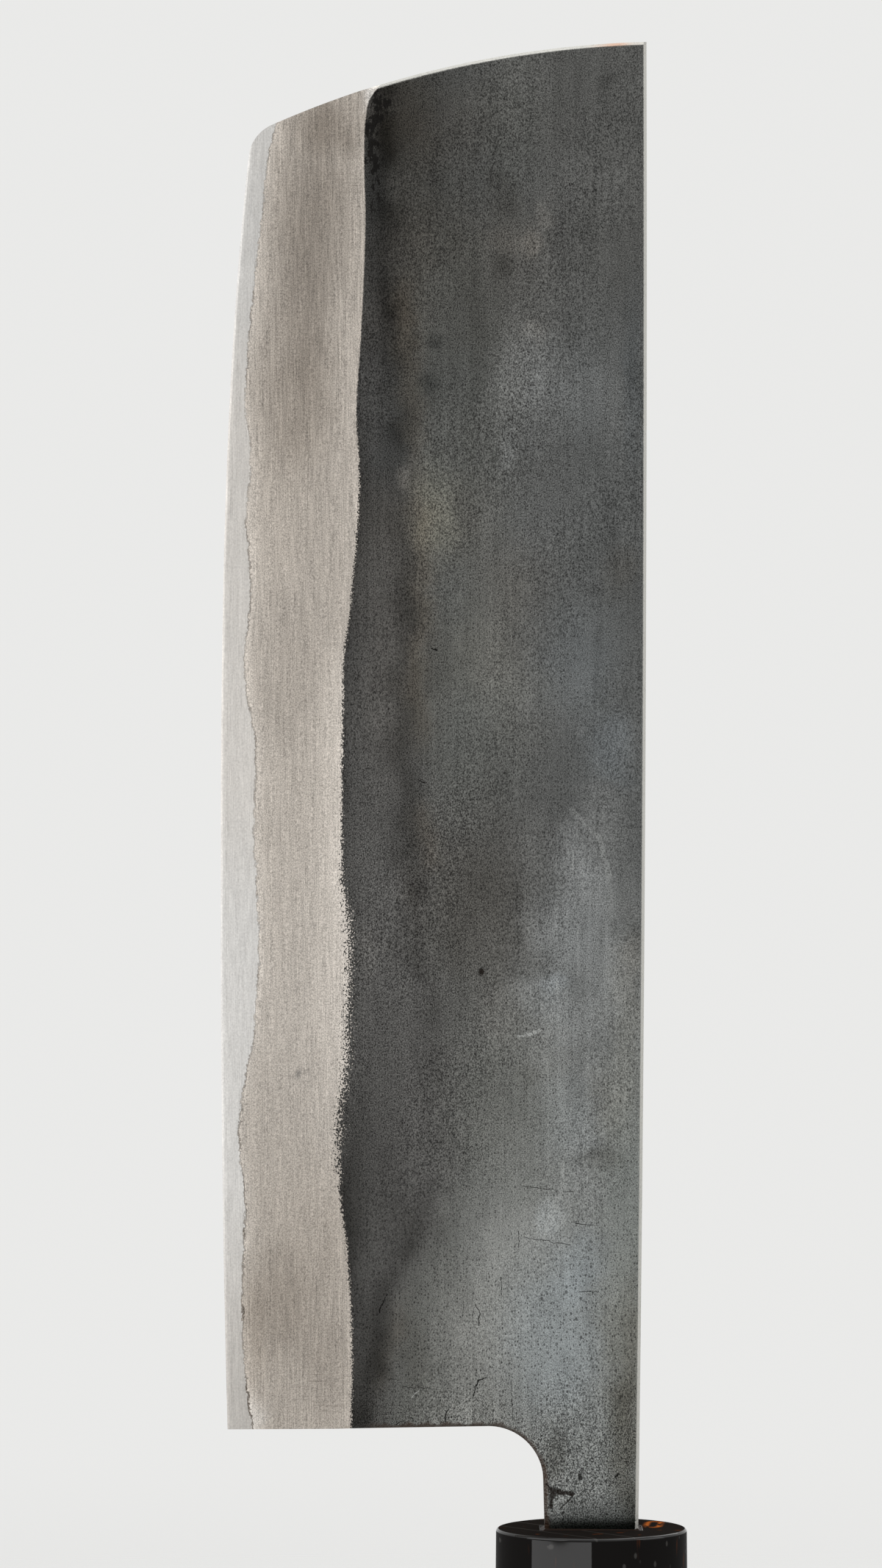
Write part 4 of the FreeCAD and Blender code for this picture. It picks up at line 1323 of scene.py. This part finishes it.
def cladding_finish(name, marks, scratches_and_highlights, finish):
    """Forged iron: pitted dark scale on the flats, a brushed bevel, the weld line, worn corners and marks."""
    material, nodes, shader = new_material(name, 1.0)
    place, shoulder = nodes.slanted(nodes.place()), nodes.value("shoulder")
    grain, mottle = nodes.noise(place, SCALE_GRAIN), nodes.noise(place, MOTTLE, 3.0)
    lines = brushed(nodes, place, BEVEL_LINES)
    forged, pits = forged_scale(nodes, place, grain, mottle, tuple(finish.pit))
    ground = ground_bevel(nodes, place, lines, grain, mottle, tuple(finish.weld_line))
    speckle = nodes.maths("SUBTRACT", nodes.noise(place, SPECKLE), 0.5)
    ragged = nodes.times(speckle, nodes.value("dither"), 3.6)
    on_flat = nodes.span(nodes.maths("ADD", shoulder, ragged), -0.10, 0.10)
    surface = nodes.mix(on_flat, ground, forged)
    surface = weld_line(nodes, place, surface, lines, grain, mottle, tuple(finish.weld_line))
    surface = worn_corners(nodes, surface, shoulder, grain, mottle, finish)
    surface, dark = scored(nodes, place, surface, grain, marks, scratches_and_highlights, finish)
    nodes.feed(shader.inputs["Base Color"], surface)

    rough_scale, rough_ground = nodes.weighted(0.52, (grain, 0.25)), nodes.weighted(0.36, (lines, 0.25))
    spread = nodes.times(nodes.maths("SUBTRACT", rough_scale, rough_ground), on_flat)
    nodes.feed(shader.inputs["Roughness"], nodes.maths("ADD", rough_ground, spread))
    hollow = nodes.times(nodes.maths("MAXIMUM", pits, dark), -1.2)
    scale_height = nodes.times(nodes.maths("ADD", grain, hollow), on_flat)
    ground_height = nodes.times(lines, 0.25, nodes.maths("SUBTRACT", 1.0, on_flat))
    bumped(nodes, shader, nodes.maths("ADD", scale_height, ground_height), STEEL_RELIEF)
    return material


def core_finish():
    """Bare core steel: fine brushed lines on the strip, with a brighter sharpened border."""
    material, nodes, shader = new_material("Brushed core steel", 1.0)
    place = nodes.slanted(nodes.place())
    lines = brushed(nodes, place, EDGE_LINES)
    cloud, grain = nodes.noise(place, EDGE_CLOUD), nodes.noise(place, EDGE_GRAIN, 3.0)
    keen = nodes.span(nodes.value("edge"), 0.45, 0.65, 0.05, 0.0)
    tone = nodes.weighted(1.0, (lines, 0.6), (cloud, 0.10), (grain, 0.55))
    nodes.feed(shader.inputs["Base Color"], nodes.scaled(nodes.tint("bare"), nodes.maths("ADD", tone, keen)))
    nodes.feed(shader.inputs["Roughness"], nodes.weighted(0.30, (lines, 0.2)))
    bumped(nodes, shader, nodes.times(lines, 0.25), STEEL_RELIEF)
    return material


def horn_finish(finish):
    """Black horn: amber streaks along the grain, pale flecks, a glossy rim and a matt cut end, whose paler
    colour is partly painted sheen.
    """
    material, nodes, shader = new_material("Polished horn", 0.0, Specular_IOR_Level=0.0)
    place, face = nodes.place(), FACE_Z / MM
    height = nodes.parts(place)[2]
    cut_end = nodes.span(height, *(face - depth for depth in END_DEPTHS))
    streak = nodes.span(nodes.noise(place, HORN_STREAKS, 3.0), 0.62, 0.80)
    fleck = pitted(nodes, nodes.slanted(place), HORN_FLECKS, 0.16)
    # the cut end is paler: partly matt horn, partly painted sheen
    body = nodes.mix(cut_end, tuple(finish.horn), tuple(finish.horn_end_and_sheen))
    body = nodes.mix(nodes.times(streak, 0.45), body, tuple(finish.horn_streak))
    ends = [(x, y, face) for x, y in AMBER_LINE]
    outer, inner = (marked(nodes, place, *ends, width) for width in AMBER_WIDTHS)
    ragged = nodes.span(nodes.noise(place, AMBER_BORDER, 3.0), 0.35, 0.55)
    amber = nodes.times(nodes.maths("SUBTRACT", outer, inner), 1.2, ragged)
    body = nodes.mix(amber, body, tuple(finish.amber))
    body = nodes.mix(nodes.times(fleck, 0.06), body, tuple(finish.fleck))
    nodes.feed(shader.inputs["Base Color"], body)
    gloss = nodes.span(height, *(face - depth for depth in RIM_DEPTHS), WALL_GLOSS, 1.0)
    gloss = nodes.times(gloss, nodes.maths("SUBTRACT", 1.0, cut_end))
    nodes.feed(shader.inputs["Coat Weight"], gloss)
    polish = nodes.weighted(0.06, (nodes.noise(place, HORN_POLISH, 3.0), 0.05))
    rough = nodes.maths("ADD", polish, nodes.times(cut_end, 0.6))
    nodes.feed(shader.inputs["Roughness"], nodes.maths("ADD", rough, nodes.times(fleck, 0.15)))
    bumped(nodes, shader, nodes.noise(place, HORN_WAVES), HORN_RELIEF)
    return material


def wood_finish(name, pale, dark, ring):
    """Oiled plain wood with grain along the handle."""
    material, nodes, shader = new_material(name, 0.0)
    place = nodes.place()
    grain = nodes.group(effect("Wood grain", grain_group), place=place, ring=ring)
    tone = nodes.weighted(1.0, (nodes.noise(place, WOOD_CLOUD), 0.25))
    nodes.feed(shader.inputs["Base Color"], nodes.scaled(nodes.mix(grain, tuple(pale), tuple(dark)), tone))
    nodes.feed(shader.inputs["Roughness"], nodes.weighted(0.48, (grain, 0.2)))
    bumped(nodes, shader, nodes.times(grain, -1.0), WOOD_RELIEF)
    return material


def resin_finish(finish):
    """Dark cured resin with a soft gloss and small bubbles."""
    material, nodes, shader = new_material("Dark resin", 0.0, Specular_IOR_Level=0.08)
    place = nodes.slanted(nodes.place())
    cloud, bubbles = nodes.noise(place, RESIN_CLOUD, 3.0), pitted(nodes, place, BUBBLES, 0.25)
    tone = nodes.weighted(1.0, (cloud, 0.7))
    nodes.feed(shader.inputs["Base Color"], nodes.scaled(tuple(finish.resin), tone))
    nodes.feed(shader.inputs["Roughness"], nodes.weighted(0.5, (cloud, 0.3)))
    bumped(nodes, shader, nodes.maths("SUBTRACT", cloud, bubbles), RESIN_RELIEF)
    return material


def material_once(name, build, *values):
    """A material by name, built at its first use."""
    return bpy.data.materials.get(name) or build(*values)


def stage_floor(stage):
    """A pale disc under the butt that fades into the backdrop at its rim: rings of a growing radius."""
    around, outward = 97, 25
    fade_from, fade_to = 0.35 * stage.floor_radius, 0.95 * stage.floor_radius
    turns = np.linspace(0, 2 * math.pi, around)
    radii = np.linspace(0, stage.floor_radius, outward)[:, None]
    rings = points_of(radii * np.cos(turns), radii * np.sin(turns), -stage.floor_drop)
    points, faces = stitch([rings])
    mesh = bpy.data.meshes.new("floor")
    mesh.from_pydata(points.tolist(), [], faces)
    floor = bpy.data.objects.new("floor", mesh)
    bpy.context.scene.collection.objects.link(floor)
    material, nodes, shader = new_material("Pale floor", 0.0, Roughness=0.9)
    shader.inputs["Base Color"].default_value = (*stage.background, 1.0)
    length = nodes.add("ShaderNodeVectorMath", operation="LENGTH")
    nodes.feed(length.inputs[0], nodes.add("ShaderNodeTexCoord").outputs["Object"])
    nodes.feed(shader.inputs["Alpha"], nodes.span(length.outputs["Value"], fade_from, fade_to, 1.0, 0.0))
    mesh.materials.append(material)


def stage_world(stage):
    """A backdrop that the camera, reflections and clear materials see pale, and that lights softly."""
    world = bpy.data.worlds.new("Pale room")
    world.use_nodes = True
    nodes = Nodes(world.node_tree)
    seen = world.node_tree.nodes["Background"]
    nodes.feed(seen.inputs["Color"], tuple(stage.background))
    lit = nodes.add("ShaderNodeBackground")
    nodes.feed(lit.inputs["Color"], tuple(stage.background))
    lit.inputs["Strength"].default_value = stage.room_light
    rays = nodes.add("ShaderNodeLightPath").outputs
    shown = nodes.maths("MAXIMUM", rays["Is Camera Ray"], rays["Is Glossy Ray"])
    shown = nodes.maths("MAXIMUM", shown, rays["Is Transmission Ray"])
    mix = nodes.add("ShaderNodeMixShader")
    nodes.joined(mix, (shown, lit.outputs[0], seen.outputs[0]))
    nodes.feed(world.node_tree.nodes["World Output"].inputs["Surface"], mix.outputs[0])
    bpy.context.scene.world = world


def stage_lamp(name, place, target, width, height, watts):
    """A soft rectangular lamp that faces a target."""
    lamp = bpy.data.lights.new(name, "AREA")
    lamp.shape = "RECTANGLE"
    lamp.size, lamp.size_y = width, height
    lamp.energy = watts
    holder = bpy.data.objects.new(name, lamp)
    away = np.array(place) - np.array(target)
    flat = math.hypot(away[0], away[1])
    holder.location = place
    holder.rotation_euler = (math.atan2(flat, away[2]), 0.0, math.atan2(away[0], -away[1]))
    holder.visible_camera = False
    bpy.context.scene.collection.objects.link(holder)
    return holder


def light_only(lamp, name):
    """Keeps a lamp's light to one piece, so that the floor and the blade stay evenly lit."""
    piece = bpy.data.objects.get(name)
    if piece:
        lit = bpy.data.collections.new(lamp.name + " lights")
        lit.objects.link(piece)
        lamp.light_linking.receiver_collection = lit


class NAKIRI_OT_claddings(bpy.types.Operator):
    """Adds the iron layers on both sides of the blade"""

    bl_idname = "nakiri.add_claddings"
    bl_label = "Add iron layers"

    def execute(self, context):
        scene = context.scene
        blade = Blade(scene.nakiri_blade)
        layers = (
            (LEFT, "left_iron_layer", "left_cladding", LEFT_MARKS, PALE_MARKS_AND_HIGHLIGHTS),
            (RIGHT, "right_iron_layer", "right_cladding", RIGHT_MARKS, PALE_MARKS_AND_HIGHLIGHTS[::3]),
        )
        for side, name, node, marks, scratches_and_highlights in layers:
            piece = build_cladding(blade, side, name, scene.nakiri_handle.mouth_depth)
            label = "Forged iron " + name.split("_")[0]
            finish = cladding_finish(label, marks, scratches_and_highlights, scene.nakiri_finish)
            seat(piece, finish, node)
        return {"FINISHED"}


class NAKIRI_OT_core(bpy.types.Operator):
    """Adds the hard steel layer with its cutting edge"""

    bl_idname = "nakiri.add_core"
    bl_label = "Add core steel"

    def execute(self, context):
        blade = Blade(context.scene.nakiri_blade)
        piece = build_core(blade, context.scene.nakiri_handle.mouth_depth)
        seat(piece, core_finish(), "core_steel")
        return {"FINISHED"}


class NAKIRI_OT_ferrule(bpy.types.Operator):
    """Adds the polished horn ferrule"""

    bl_idname = "nakiri.add_ferrule"
    bl_label = "Add ferrule"

    def execute(self, context):
        piece = build_ferrule(Handle(context.scene.nakiri_handle))
        seat(piece, horn_finish(context.scene.nakiri_finish), "horn_ferrule")
        return {"FINISHED"}


class NAKIRI_OT_grip(bpy.types.Operator):
    """Adds the oval wooden grip"""

    bl_idname = "nakiri.add_grip"
    bl_label = "Add grip"

    def execute(self, context):
        finish = context.scene.nakiri_finish
        piece = build_grip(Handle(context.scene.nakiri_handle))
        wood = wood_finish("Handle wood", finish.wood, finish.wood_grain, HANDLE_RING)
        seat(piece, wood, "wood_handle")
        return {"FINISHED"}


class NAKIRI_OT_seal(bpy.types.Operator):
    """Adds the resin seal round the neck"""

    bl_idname = "nakiri.add_seal"
    bl_label = "Add seal"

    def execute(self, context):
        scene = context.scene
        piece = build_seal(Handle(scene.nakiri_handle), Blade(scene.nakiri_blade))
        seat(piece, material_once("Dark resin", resin_finish, scene.nakiri_finish), "mouth_seal")
        return {"FINISHED"}


class NAKIRI_OT_inner(bpy.types.Operator):
    """Finishes the dowel and the bedding inside the handle"""

    bl_idname = "nakiri.finish_inner"
    bl_label = "Finish inner pieces"

    def execute(self, context):
        finish = context.scene.nakiri_finish
        finishes = {
            "tang_dowel": wood_finish("Dowel wood", finish.dowel, finish.dowel_grain, DOWEL_RING),
            "tang_bedding": material_once("Dark resin", resin_finish, finish),
        }
        for node, material in finishes.items():
            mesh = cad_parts[node].data
            mesh.materials.clear()
            mesh.materials.append(material)
        return {"FINISHED"}


class NAKIRI_OT_stage(bpy.types.Operator):
    """Adds the floor, the light and the camera"""

    bl_idname = "nakiri.add_stage"
    bl_label = "Add stage"

    def execute(self, context):
        stage = context.scene.nakiri_stage
        context.scene.view_settings.view_transform = "Standard"
        stage_world(stage)
        stage_floor(stage)
        for lamp in LAMPS:
            stage_lamp(*lamp)
        light_only(stage_lamp(*LOW_PANEL), "polished_ferrule")
        camera = bpy.data.cameras.new("camera")
        camera.lens = camera.sensor_width * stage.camera_distance / stage.frame_height
        camera.clip_start = stage.clip_start
        holder = bpy.data.objects.new("camera", camera)
        holder.location = (-stage.frame_shift, -stage.camera_distance, FACE_Z + stage.frame_rise)
        holder.rotation_euler = (math.pi / 2, 0.0, 0.0)
        context.scene.collection.objects.link(holder)
        context.scene.camera = holder
        return {"FINISHED"}


class NAKIRI_PT_panel(bpy.types.Panel):
    """Lists the knife's pieces and sizes"""

    bl_idname = "NAKIRI_PT_panel"
    bl_label = "Nakiri knife"
    bl_space_type = "VIEW_3D"
    bl_region_type = "UI"
    bl_category = "Nakiri"

    def draw(self, context):
        for operator in OPERATORS:
            self.layout.operator(operator.bl_idname)
        for name in GROUPS:
            box = self.layout.box()
            group = getattr(context.scene, name)
            for key in group.bl_rna.properties.keys():
                if key not in ("rna_type", "name"):
                    box.prop(group, key)


GROUPS = {
    "nakiri_blade": NAKIRI_PG_blade,
    "nakiri_handle": NAKIRI_PG_handle,
    "nakiri_finish": NAKIRI_PG_finish,
    "nakiri_stage": NAKIRI_PG_stage,
}
OPERATORS = (
    NAKIRI_OT_claddings, NAKIRI_OT_core, NAKIRI_OT_ferrule, NAKIRI_OT_grip, NAKIRI_OT_seal, NAKIRI_OT_inner,
    NAKIRI_OT_stage,
)


def register():
    for name, group in GROUPS.items():
        bpy.utils.register_class(group)
        setattr(bpy.types.Scene, name, bpy.props.PointerProperty(type=group))
    for item in OPERATORS + (NAKIRI_PT_panel,):
        bpy.utils.register_class(item)


def unregister():
    for item in (NAKIRI_PT_panel,) + OPERATORS[::-1]:
        bpy.utils.unregister_class(item)
    for name, group in GROUPS.items():
        delattr(bpy.types.Scene, name)
        bpy.utils.unregister_class(group)


def main():
    """Registers the add-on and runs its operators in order."""
    register()
    bpy.ops.nakiri.add_claddings()
    bpy.ops.nakiri.add_core()
    bpy.ops.nakiri.add_ferrule()
    bpy.ops.nakiri.add_grip()
    bpy.ops.nakiri.add_seal()
    bpy.ops.nakiri.finish_inner()
    bpy.ops.nakiri.add_stage()


if __name__ == "__main__":
    main()
